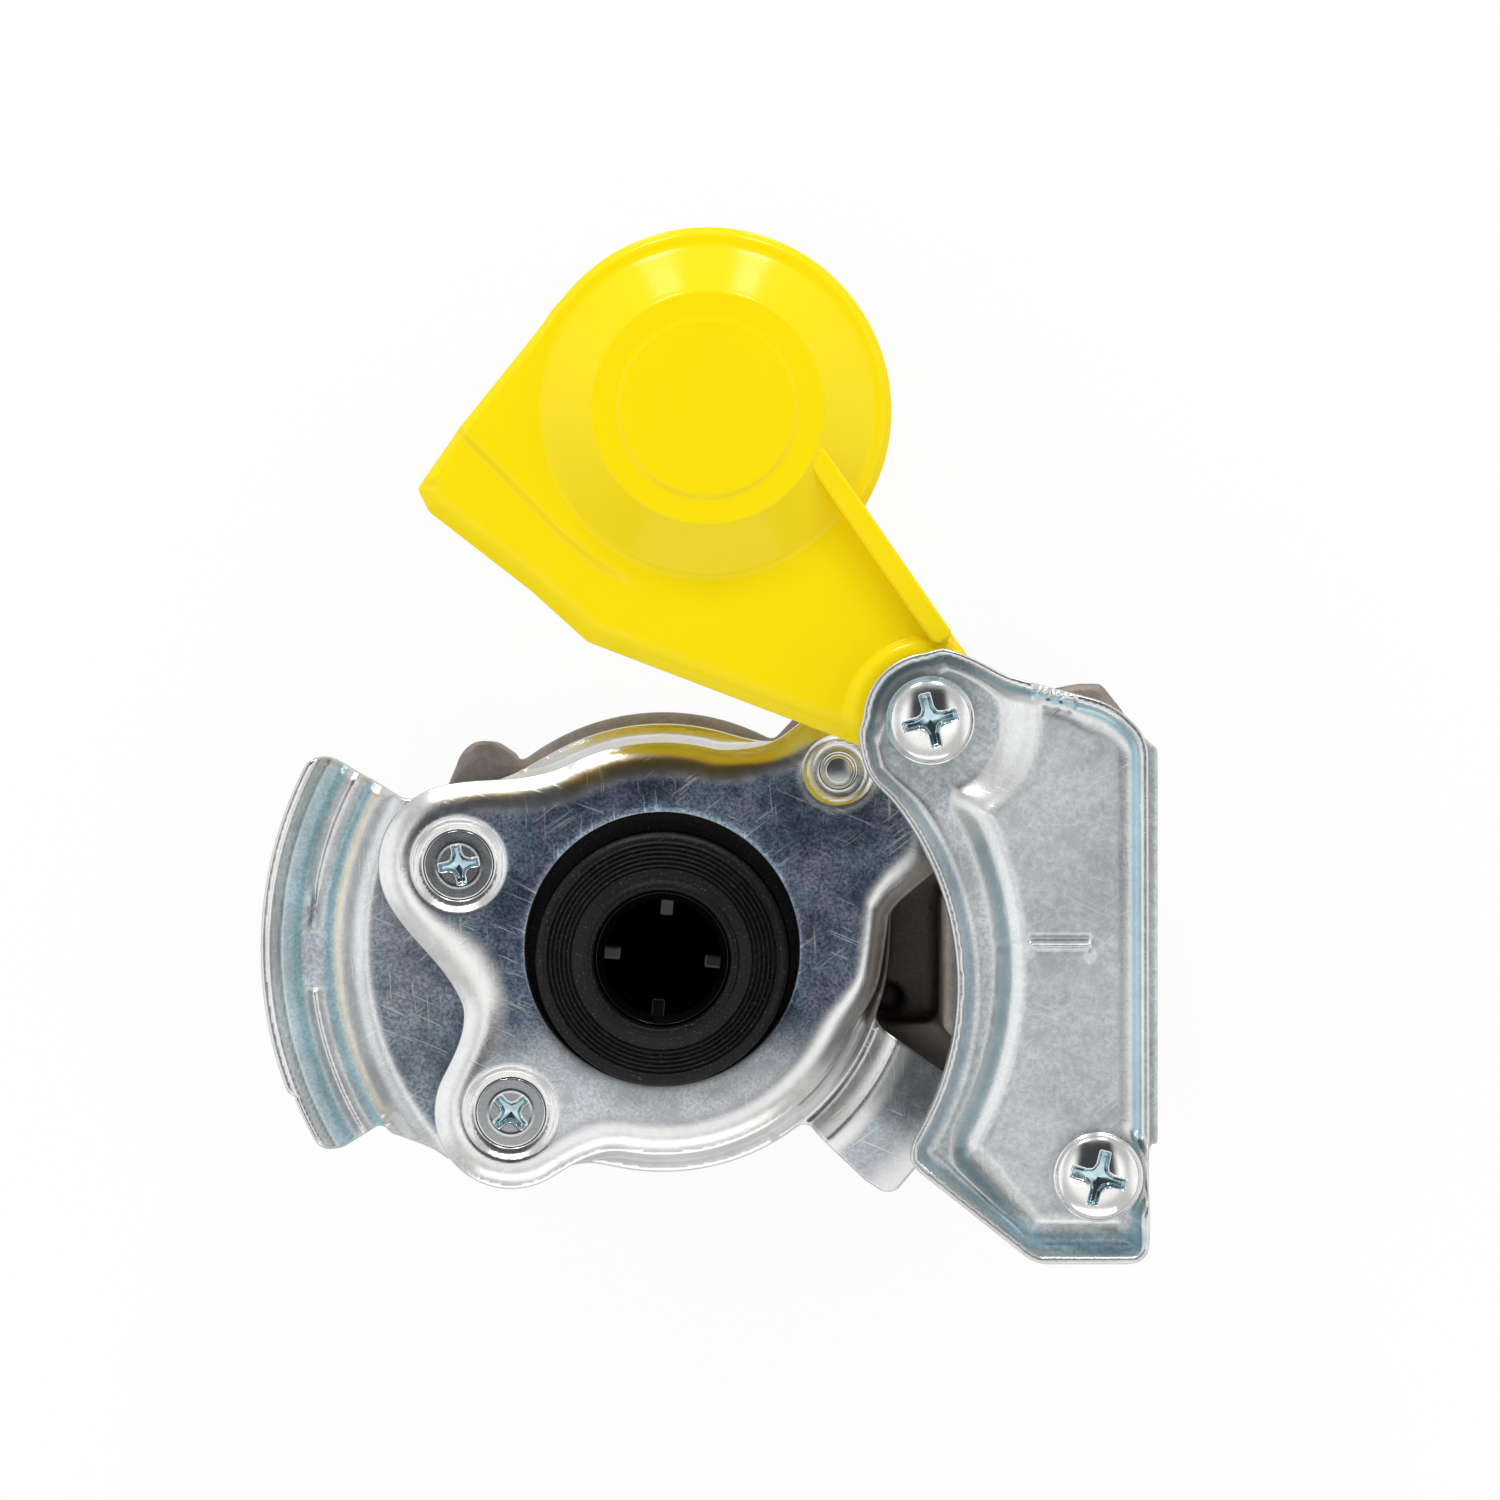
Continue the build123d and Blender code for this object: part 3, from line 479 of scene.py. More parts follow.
class Kit:
    """Node tree with short ways to add the nodes that its colours and values come from."""

    def __init__(self, tree):
        self.tree = tree

    def feed(self, socket, value):
        """Links a socket to another one or sets its value."""
        if isinstance(value, bpy.types.NodeSocket):
            self.tree.links.new(value, socket)
        else:
            socket.default_value = value

    def add(self, kind, inputs=(), **settings):
        """New node with its settings, and with its sockets fed."""
        made = self.tree.nodes.new(kind)
        for name, value in settings.items():
            setattr(made, name, value)
        for socket, value in dict(inputs).items():
            self.feed(made.inputs[socket], value)
        return made

    def group(self, name, **inputs):
        """Results of a shader group."""
        return self.add("ShaderNodeGroup", inputs, node_tree=bpy.data.node_groups[name]).outputs

    def mark(self, name):
        """Mark stored on the mesh's vertices."""
        return self.add("ShaderNodeAttribute", attribute_name=name).outputs["Fac"]

    def place(self):
        """Place on the object."""
        return self.add("ShaderNodeTexCoord").outputs["Object"]

    def from_axis(self, place):
        """Distance of a place from the coupling axis."""
        level = self.add("ShaderNodeVectorMath", {0: place, 1: (1.0, 1.0, 0.0)}, operation="MULTIPLY")
        return self.add("ShaderNodeVectorMath", {0: level.outputs[0]}, operation="LENGTH").outputs["Value"]

    def noise(self, place, scale, detail, roughness):
        """Noise at that many cells a metre."""
        return self.add("ShaderNodeTexNoise", {"Vector": place, "Scale": scale, "Detail": detail,
                                               "Roughness": roughness}).outputs["Fac"]

    def math(self, operation, first, second=0.0):
        """Result of a named operation on two values."""
        return self.add("ShaderNodeMath", {0: first, 1: second}, operation=operation).outputs[0]

    def times(self, first, second):
        """Product of two values."""
        return self.math("MULTIPLY", first, second)

    def plus(self, first, second):
        """Sum of two values."""
        return self.math("ADD", first, second)

    def ramp(self, value, low, high, to_low=0.0, to_high=1.0):
        """Value moved smoothly from one range to another."""
        return self.add("ShaderNodeMapRange", {"Value": value, "From Min": low, "From Max": high, "To Min": to_low,
                                               "To Max": to_high}, interpolation_type="SMOOTHSTEP").outputs["Result"]

    def mix(self, share, first, second, blend="MIX"):
        """Colour between two colours."""
        made = self.add("ShaderNodeMix", data_type="RGBA", blend_type=blend)
        self.feed(made.inputs[0], share)
        for index, value in ((6, first), (7, second)):
            self.feed(made.inputs[index], value if isinstance(value, bpy.types.NodeSocket) else (*value, 1.0))
        return made.outputs[2]

    def shades(self, share, base, low, high):
        """Colour between a darker and a lighter shade of one colour."""
        return self.mix(share, shade(base, low), shade(base, high))

    def shaded(self, paint, share, low, high):
        """Paint times a factor that runs between two colours."""
        return self.mix(1.0, paint, self.mix(share, low, high), "MULTIPLY")

    def tinged(self, paint, mask, amount, colour):
        """Paint with a colour laid over it where a mask allows."""
        return self.mix(self.times(mask, amount), paint, colour)


def shade(base, share):
    """Colour made lighter or darker."""
    return tuple(min(1.0, value * share) for value in base)


def new_group(name, inputs, outputs):
    """Kit of an empty shader group of values, with its given values and its results."""
    group = bpy.data.node_groups.new(name, "ShaderNodeTree")
    for socket, default in inputs.items():
        made = group.interface.new_socket(socket, in_out="INPUT", socket_type="NodeSocketFloat")
        made.default_value = default
    for socket in outputs:
        group.interface.new_socket(socket, in_out="OUTPUT", socket_type="NodeSocketFloat")
    kit = Kit(group)
    return kit, kit.add("NodeGroupInput").outputs, kit.add("NodeGroupOutput").inputs


def build_cloud_group():
    """Uneven plating: broad clouds, light specks, smudges, fine mottle and two hues."""
    kit, given, results = new_group("Plating clouds", {"Scale": 1.0},
                                    ("Clouds", "Specks", "Smudges", "Mottle", "Hues"))
    place = kit.add("ShaderNodeVectorMath", {0: kit.place(), "Scale": given["Scale"]}, operation="SCALE").outputs[0]
    broad, fine = kit.noise(place, 90.0, 3.0, 0.6), kit.noise(place, 520.0, 5.0, 0.7)
    kit.feed(results["Clouds"], kit.ramp(kit.plus(kit.times(broad, 0.6), kit.times(fine, 0.4)), 0.36, 0.64))
    for name, scale, detail, roughness, low, high in (
            ("Specks", 2100.0, 2.0, 0.5, 0.60, 0.74), ("Smudges", 210.0, 6.0, 0.75, 0.52, 0.66),
            ("Mottle", 2000.0, 5.0, 0.75, 0.38, 0.62), ("Hues", 130.0, 3.0, 0.6, 0.42, 0.62)):
        kit.feed(results[name], kit.ramp(kit.noise(place, scale, detail, roughness), low, high))


def build_scratch_group():
    """Fine handling scratches in several directions, as a mask."""
    kit, given, results = new_group("Handling scratches", {"Amount": 0.5}, ("Mask",))
    place, total = kit.place(), 0.0
    for turn, across, along in ((0.4, 150.0, 3200.0), (1.5, 170.0, 3600.0), (2.5, 140.0, 3000.0)):
        turned = kit.add("ShaderNodeMapping", {"Vector": place, "Rotation": (0.0, 0.0, turn)}).outputs[0]
        drawn = kit.add("ShaderNodeMapping", {"Vector": turned, "Scale": (across, along, 300.0)}).outputs[0]
        patches = kit.ramp(kit.noise(turned, 90.0, 2.0, 0.5), 0.46, 0.56)
        lines = kit.times(kit.ramp(kit.noise(drawn, 1.0, 1.0, 0.4), 0.66, 0.72), patches)
        total = kit.math("MAXIMUM", total, lines)
    kit.feed(results["Mask"], kit.times(total, given["Amount"]))


def build_grain_group():
    """Fine uneven surface, as a height."""
    kit, given, results = new_group("Surface grain", {"Scale": 1000.0}, ("Height",))
    kit.feed(results["Height"], kit.noise(kit.place(), given["Scale"], 4.0, 0.6))


def new_material(name, **fixed):
    material = bpy.data.materials.new(name)
    material.use_nodes = True
    shader = material.node_tree.nodes["Principled BSDF"]
    for socket, value in fixed.items():
        shader.inputs[socket.replace("_", " ")].default_value = value
    return material, Kit(material.node_tree), shader


def new_finish(name, scale, **fixed):
    """Kit and shader of a new material, with the plating clouds at a scale."""
    _, kit, shader = new_material(name, **fixed)
    return kit, shader, kit.group("Plating clouds", Scale=scale)


def feed_shader(kit, shader, paint, gloss, scale, strength, depth, dents=0.0):
    """Gives a shader its colour, its roughness and a grain at that many cells a metre."""
    kit.feed(shader.inputs["Base Color"], paint)
    kit.feed(shader.inputs["Roughness"], gloss)
    height = kit.math("SUBTRACT", kit.group("Surface grain", Scale=scale)["Height"], dents)
    made = kit.add("ShaderNodeBump", {"Height": height, "Strength": strength, "Distance": depth})
    kit.feed(shader.inputs["Normal"], made.outputs[0])


def zinc_material(name, colours, scale):
    """Zinc-plated pressed steel: dark mottled or milky flats, hollows tinted with painted reflection and shade, and
    bright edges.
    """
    kit, shader, clouds = new_finish(name, scale)
    scratches = kit.group("Handling scratches", Amount=1.0)["Mask"]
    hollow, flat, haze, edge, fringe = (kit.mark(mark) for mark in MARKS)

    bare = kit.shades(clouds["Clouds"], colours.zinc, 0.9, 1.06)
    dulled = kit.mix(clouds["Hues"], colours.zinc_dark, colours.zinc_violet)
    dulled = kit.shaded(dulled, clouds["Mottle"], (0.5, 0.51, 0.54), (1.5, 1.5, 1.48))
    dulled = kit.shaded(dulled, clouds["Clouds"], (0.5, 0.53, 0.6), (1.45, 1.43, 1.38))
    milky = kit.shades(clouds["Clouds"], colours.zinc_hazy, 0.8, 1.12)
    milky = kit.shaded(milky, clouds["Mottle"], (0.7, 0.71, 0.72), (1.15, 1.15, 1.15))
    grime = kit.times(clouds["Smudges"], kit.ramp(clouds["Mottle"], 0.35, 0.8, 0.15, 0.8))
    milky = kit.mix(grime, milky, shade(colours.zinc_hazy, 0.5))

    paint = kit.mix(haze, kit.mix(flat, bare, dulled), milky)
    paint = kit.tinged(paint, scratches, 0.6, colours.zinc)
    # painted reflection and shade: the blue-green tint laid into the hollows
    tint = kit.mix(kit.ramp(hollow, 0.1, 0.95), WHITE, colours.valley)
    # yellow tint: passivation lines along the claw's channel, and the painted reflection of the cover on the
    # retainer's upper border
    paint = kit.shaded(paint, fringe, tint, colours.fringe)
    paint = kit.tinged(paint, edge, 0.5, shade(colours.zinc, 0.9))
    kit.feed(shader.inputs["Metallic"], kit.ramp(haze, 0.0, 1.0, 1.0, 0.25))
    gloss = kit.plus(kit.times(clouds["Clouds"], 0.06), 0.2)
    gloss = kit.plus(gloss, kit.times(flat, 0.05))
    gloss = kit.plus(gloss, kit.times(haze, 0.18))
    feed_shader(kit, shader, paint, gloss, 1500.0, 0.12, 0.00012, kit.times(scratches, 1.2))


def screw_material(colours):
    """Bright zinc-plated fasteners."""
    kit, shader, clouds = new_finish("Bright fastener", 2.2, Metallic=1.0)
    paint = kit.shades(clouds["Clouds"], colours.zinc, 1.02, 1.12)
    speckle = kit.ramp(kit.mark("flat"), 0.0, 1.0, 0.12, 0.75)
    paint = kit.tinged(paint, clouds["Mottle"], speckle, shade(colours.zinc, 0.5))
    # painted shade in the cross recess: darker and blue-green
    paint = kit.tinged(paint, kit.mark("valley"), 0.85, shade(colours.valley, 0.8))
    gloss = kit.plus(kit.times(clouds["Clouds"], 0.06), 0.1)
    feed_shader(kit, shader, paint, gloss, 2400.0, 0.03, 0.0001)


def cast_material(colours):
    """Die-cast housing: dull warm grey with a fine pitted skin, with painted shade in its bore and its pocket."""
    kit, shader, clouds = new_finish("Die casting", 1.3, Metallic=0.7)
    base = colours.cast
    paint = kit.shades(clouds["Clouds"], base, 0.72, 1.2)
    paint = kit.tinged(paint, clouds["Mottle"], 0.3, shade(base, 0.55))
    paint = kit.tinged(paint, clouds["Specks"], 0.35, shade(base, 0.4))
    place = kit.place()
    level = kit.add("ShaderNodeSeparateXYZ", {0: place}).outputs["Z"]
    # painted shade: the air passage within the bore's radius is near black, except near the port's mouth
    bore_shade = kit.ramp(kit.from_axis(place), BORE_SHADE * MM, 1.2 * BORE_SHADE * MM, 1.0, 0.0)
    paint = kit.tinged(paint, bore_shade, kit.ramp(level, 0.008, 0.012), (0.01, 0.01, 0.01))
    # painted shade: the pocket under the guide plate is darkened
    pocket = kit.add("ShaderNodeVectorMath", {0: place, 1: SHADED_POCKET_MIDDLE}, operation="DISTANCE").outputs["Value"]
    paint = kit.mix(kit.ramp(pocket, 0.010, 0.017, 0.6, 0.0), paint, shade(base, 0.2))
    gloss = kit.ramp(clouds["Clouds"], 0.0, 1.0, 0.46, 0.62)
    feed_shader(kit, shader, paint, gloss, 1300.0, 0.5, 0.0003)


def cover_material(colours):
    """Glossy moulded plastic with faint scuffs."""
    kit, shader, clouds = new_finish("Yellow moulding", 0.5, IOR=1.5, Specular_IOR_Level=0.2)
    scuffs = kit.times(kit.group("Handling scratches", Amount=0.5)["Mask"], kit.ramp(clouds["Smudges"], 0.7, 1.0))
    paint = kit.tinged(kit.shades(clouds["Clouds"], colours.cover, 0.985, 1.0), scuffs, 0.2, (0.7, 0.5, 0.05))
    feed_shader(kit, shader, paint, kit.plus(kit.times(scuffs, 0.3), 0.15), 160.0, 0.04, 0.0004)


def rubber_material(colours):
    """Satin black rubber with light dust."""
    kit, shader, clouds = new_finish("Seal rubber", 1.6, Specular_IOR_Level=0.22)
    paint = kit.shades(clouds["Clouds"], colours.rubber, 0.7, 1.5)
    paint = kit.tinged(paint, clouds["Specks"], 0.22, (0.25, 0.25, 0.25))
    gloss = kit.ramp(clouds["Smudges"], 0.0, 1.0, 0.38, 0.55)
    feed_shader(kit, shader, paint, gloss, 1900.0, 0.25, 0.0002)


def support_material(colours):
    """Glossy black moulded plastic."""
    kit, shader, clouds = new_finish("Support plastic", 2.0)
    kit.feed(shader.inputs["Base Color"], kit.shades(clouds["Clouds"], colours.support, 1.0, 1.6))
    kit.feed(shader.inputs["Roughness"], kit.ramp(clouds["Smudges"], 0.0, 1.0, 0.16, 0.26))


# Outlines

RETAINER_LOBES = ((UPPER_SCREW, 10.7, 9.0), (LOWER_SCREW, 10.2, 6.0))
RETAINER_ARM = [(0, 0), (26.3, -7.6), (29.5, 4.6), (36.6, 10.6), (40.9, 24.5), (27.0, 34.7), (18.7, 30.3),
                (11.0, 24.5)]
GUIDE_TRAY = [HINGE, (36.6, 38.0), (58.2, 32.2), (62.7, 28.0), (62.9, -39.7), (48.2, -39.7), (32.2, -27.0),
              (31.2, -18.0), (24.0, 0.0), (26.6, 20.0), (26.8, 28.0)]
TONGUE = [(15.0, -18.0), (20.4, -24.6), (26.9, -30.9), (30.4, -33.2), (41.0, -20.6), (40.6, -18.7), (27.6, -9.4)]
COVER_PLATE = [COVER, (-13.0, 84.6), (-26.2, 68.2), (-31.7, 60.3), (-30.2, 57.3), (-16.9, 47.0), (-9.6, 40.4),
               (25.8, 26.9), HINGE, RIB_END, RIB_START]
LOW_EDGE = COVER_PLATE[3:8]
TAB_CREASE = [(-26.1, 68.5), (-20.9, 63.3), (-13.1, 55.3), (-7.9, 51.0), (-4.0, 49.0)]
CLAW_FROM, CLAW_TO, SHOULDER_TO = 150.0, 212.0, 224.0
CHANNEL_FROM, CHANNEL_TO, CHANNEL_DEPTH = 43.2, 51.0, 3.0
RIM_DROP = 3.1               # fall of the rim round the seal
NICK_ANGLE = 201.5           # below it the claw's rim is cut back a little
SHOULDER = [(0, 0), (-38.7, -21.4), (-37.5, -23.4), (-36.2, -24.8), (-32.1, -25.9), (-28.3, -27.4)]
DETENT = 181.9               # the bead of the claw is pressed flat about this angle


def retainer_field(x, y, sizes):
    """Outline of the retainer plate."""
    field = round_field(x, y, (0, 0), sizes.retainer / MM)
    for place, radius, fillet in RETAINER_LOBES:
        field = joined(field, round_field(x, y, place, radius), fillet)
    arm = soft_polygon_field(x, y, RETAINER_ARM, 4.5)
    arm = joined(arm, round_field(x, y, HINGE, 9.5), 2.0)
    return joined(field, arm, 5.0)


def claw_plate_field(x, y, sizes):
    """Outline of the claw plate."""
    seat = retainer_field(x, y, sizes) + 0.6
    field = joined(round_field(x, y, (0, 0), sizes.rim / MM), seat, 3.0)
    claw = sizes.claw / MM
    angle = about_axis(x, y)[1]
    cut_back = 0.6 * ease((angle - NICK_ANGLE) / 0.5) + 0.5 * bump((angle - NICK_ANGLE) / 0.8)
    wedge = polygon_field(x, y, [(0, 0), polar(90, CLAW_FROM), (-90, 0), polar(90, CLAW_TO)])
    sector = carved(wedge, -round_field(x, y, (0, 0), claw) - cut_back, 3.0)
    field = joined(field, joined(sector, polygon_field(x, y, SHOULDER), 0.8), 2.0)
    tongue = soft_polygon_field(x, y, TONGUE, 2.2)
    return joined(field, tongue, 1.5)


def guide_field(x, y, sizes):
    """Outline of the guide plate."""
    corner = sizes.corner / MM
    reaches = (0, 0, corner, corner, 3.0, 1.8, 1.6, 0, 0, 0, 0)
    tray = polygon_field(x, y, softened(GUIDE_TRAY, reaches, 6))
    tray = carved(tray, round_field(x, y, (0.2, -4.0), sizes.inner / MM), 1.5)
    return joined(tray, round_field(x, y, HINGE, sizes.lobe / MM), 3.0)


def plateau_field(x, y, sizes):
    """Raised zone of the guide plate, open towards its outer edge and the hinge."""
    zone = soft_polygon_field(x, y, [(36, 60), (80, 60), (80, -37.4), (47.0, -37.4), (35.0, -22.9), (35.0, 10.0)], 2.5)
    return carved(zone, round_field(x, y, (0, -2.0), sizes.plateau / MM), 3.4)


def cover_field(x, y, sizes):
    """Outline of the swing cover."""
    plate = soft_polygon_field(x, y, COVER_PLATE, 0.8)
    field = joined(plate, round_field(x, y, COVER, sizes.radius / MM), 0.4)
    return joined(field, round_field(x, y, HINGE, sizes.hub / MM), 0.4)


# Pieces


def pierced(field, x, y, opening, screw_hole):
    """Outline of a plate with the opening over the seal and the fasteners' holes."""
    for place, radius in (((0, 0), opening), (UPPER_SCREW, screw_hole), (LOWER_SCREW, screw_hole),
                          (RIVET, RIVET_HOLE), (HINGE, HINGE_HOLE)):
        field = carved(field, round_field(x, y, place, radius))
    return field


def build_retainer(sizes):
    """Dished plate over the seal's flange, with a soft border and pressed seats."""
    border, dish, opening = sizes.retainer_border / MM, sizes.screw_dish / MM, sizes.opening / MM
    border_fall, rivet_fall, lip_fall = 1.5, 0.9, 0.2

    def inside(x, y):
        return pierced(retainer_field(x, y, sizes), x, y, opening, FLAT_HEAD + 0.06)

    def depth_in(x, y):
        """Distance from the outline, less where the border is wider at the left."""
        return -retainer_field(x, y, sizes) * (1 - 0.32 * bump(away(x, y, (-25, -3)) / 15))

    def top(x, y):
        height = RETAINER_TOP - border_fall * np.clip((border + 0.3 - depth_in(x, y)) / border, 0, 1) ** 2.2
        for place in (UPPER_SCREW, LOWER_SCREW):
            height = height - SEAT_DEPTH * ease((dish + 0.4 - away(x, y, place)) / 1.1)
        height = height - rivet_fall * ease((4.7 - away(x, y, RIVET)) / 1.2)
        return height - lip_fall * ease((0.6 - round_field(x, y, (0, 0), opening)) / 0.6)

    def level_part(x, y):
        near = np.minimum(np.minimum(away(x, y, UPPER_SCREW), away(x, y, LOWER_SCREW)), away(x, y, RIVET) + 1.0)
        return ease((depth_in(x, y) - border + 0.5) / 1.5) * ease((near - dish) / 1.0)

    # dull dark flats over the upper part only, fading out towards the bottom where the painted lighter tone takes over
    def flat(x, y):
        return level_part(x, y) * ease((y + 24) / 16)

    # painted reflection: the flats turn milky and lighter towards the bottom of the plate
    def haze(x, y):
        return 0.8 * level_part(x, y) * ease((-7 - y) / 13)

    # painted reflection: golden band along the upper border, standing in for the yellow cover seen in it
    def fringe(x, y):
        band = bump((-retainer_field(x, y, sizes) - 2.7) / 1.9) * ease((y - 18) / 4) * ease((18 - x) / 6)
        return 0.95 * band * (1 - 0.85 * bump((x + 15.5) / 4))

    shape = relief(inside, top, level_at(RETAINER_BASE), (-42, -36, 48, 44), 0.4, 0.35,
                   {"flat": flat, "haze": haze, "fringe": fringe})
    piece("retainer_sheet", shape, "retainer_steel", "retainer_plate")


def detent_ends(angle):
    """1 along the bead and 0 in the detent."""
    return ease((np.abs(angle - DETENT) - 4.6) / 0.7)


def tongue_side(angle):
    """Positive within the tongue's sector."""
    return np.minimum(angle - 300, 348 - angle)


def claw_height(x, y, sizes):
    """Upper surface of the claw plate."""
    radius, angle = about_axis(x, y)
    rim = sizes.rim / MM
    seat = retainer_field(x, y, sizes) + 0.6
    claw_side = ease((angle - CLAW_FROM + 6) / 5) * ease((SHOULDER_TO + 6 - angle) / 5)
    drop = bent(radius, 0.7, (0, 0.0), (rim - 4.4, 0.0), (rim, RIM_DROP), (rim + 5, RIM_DROP))
    height = CLAW_TOP - drop * (1 - claw_side) * ease(seat / 1.6)
    claw = bent(radius, 1.9, (30, 0.0), (39.7, 0.0), (43.4, -CHANNEL_DEPTH), (60, -CHANNEL_DEPTH))
    claw = claw + bent(radius, 0.35, (30, 0.0), (49.0, 0.0), (50.9, 0.7), (51.7, 4.0), (52.6, 4.3), (56, 4.4))
    middle = sizes.bead / MM + 0.2
    half = np.where(angle < DETENT, 1.5 + 0.8 * ease((176 - angle) / 22), 1.25)
    bead = 1.3 * bump((radius - middle) / half) * detent_ends(angle)
    pad = 0.35 * ease((1.9 - np.abs(radius - middle)) / 0.4) * (1 - detent_ends(angle))
    along, across = radians(1) * (angle - 173.5) * radius, radius - middle - 0.3
    fold = (0.7 * bump((across + 0.5) / 0.6) - 1.2 * bump((across - 0.3) / 0.6)) * bump(along / 3.2)
    ends = np.minimum(radius * np.sin(radians(1) * (angle - CLAW_FROM)),
                      radius * np.sin(radians(1) * (CLAW_TO - angle)) + 0.5)
    fall = 1.1 * (1 - np.clip(ends / 1.7, 0, 1)) ** 2 * ease((radius - 41) / 2)
    height = height + (claw + bead + pad + fold - fall) * ease((radius - 36) / 2) * claw_side
    tongue = bent(radius, 0.7, (20, -RIM_DROP), (30.4, -RIM_DROP), (33.4, -1.2), (47.0, -3.2), (60, -3.4)) + CLAW_TOP
    share = ease((tongue_side(angle)) / 1.0) * ease((radius - rim + 1.2) / 1.2)
    return height * (1 - share) + tongue * share


def build_claw_plate(sizes):
    """Pressed plate with the channelled claw, the sloped rim and the tongue."""
    bead_middle = sizes.bead / MM

    def inside(x, y):
        return pierced(claw_plate_field(x, y, sizes), x, y, sizes.opening / MM, 3.4)

    def top(x, y):
        return claw_height(x, y, sizes)

    # painted reflection and shade: blue-green tint in the claw channel's hollows and at the foot of its walls
    def valley(x, y):
        radius, angle = about_axis(x, y)
        floor = ease((radius - 43.0) / 1.4) * ease((51.2 - radius) / 0.8)
        ridge = bump((radius - bead_middle - 0.2) / 1.9)
        feet = bump((radius - 48.8) / 1.8) + bump((radius - 44.4) / 1.4)
        return np.clip(0.5 * floor + 0.4 * feet - ridge, 0, 1) * ease((CLAW_TO + 3 - angle) / 3)

    def fringe(x, y):
        radius, angle = about_axis(x, y)
        lines = bump((radius - CHANNEL_FROM) / 0.8) + 0.35 * bump((radius - CHANNEL_TO) / 0.5)
        ends = 0.3 * ease((153.5 - angle) / 3) * ease((radius - 42) / 2)
        return 0.36 * np.clip(lines + ends, 0, 1) * ease((angle - 146) / 2) * ease((CLAW_TO + 2 - angle) / 3)

    def flat(x, y):
        radius, angle = about_axis(x, y)
        sector = ease((angle - 140) / 6) * ease((SHOULDER_TO - angle) / 6)
        claw = ease((39.3 - radius) / 1.4) * sector * (0.8 + 0.2 * ease((7.0 - y) / 6))
        slope = 0.22 * ease((radius - 38.0) / 1.5) * ease((44.0 - radius) / 1.5) * sector
        along, across = radians(1) * (angle - 173.8) * radius, radius - bead_middle - 0.3
        fold = ease(1.6 - 1.6 * np.hypot(along / 2.9, across / 0.85))
        tongue = ease(tongue_side(angle) / 2) * ease((radius - 35.0) / 1.5) * ease((44.0 - radius) / 5)
        return np.maximum(np.maximum(np.maximum(claw, slope), fold), 0.6 * tongue)

    def haze(x, y):
        radius, angle = about_axis(x, y)
        channel = ease((radius - CHANNEL_FROM) / 0.8) * ease((CHANNEL_TO - radius) / 0.8)
        channel = channel * ease((CLAW_TO + 2 - angle) / 3)
        ridge = bump((radius - bead_middle - 0.2) / 1.3) * detent_ends(angle)
        inner = 0.3 * flat(x, y) * ease((-20.0 - x) / 16)
        wall = ease((radius - 50.9) / 0.3) * ease((51.8 - radius) / 0.3)
        pad = ease((2.2 - np.abs(radius - bead_middle - 0.2)) / 0.6) * (1 - detent_ends(angle))
        channel = np.maximum(np.maximum(channel * (0.7 - 0.5 * ridge), wall), pad)
        return np.where(radius > 41, channel, inner) * ease((angle - 120) / 10)

    shape = relief(inside, top, lambda x, y: top(x, y) - (CLAW_TOP - CLAW_BASE), (-56, -36, 47, 44), 0.36, 0.4,
                   {"valley": valley, "flat": flat, "haze": haze, "fringe": fringe})
    piece("claw_sheet", shape, "claw_steel", "claw_plate")


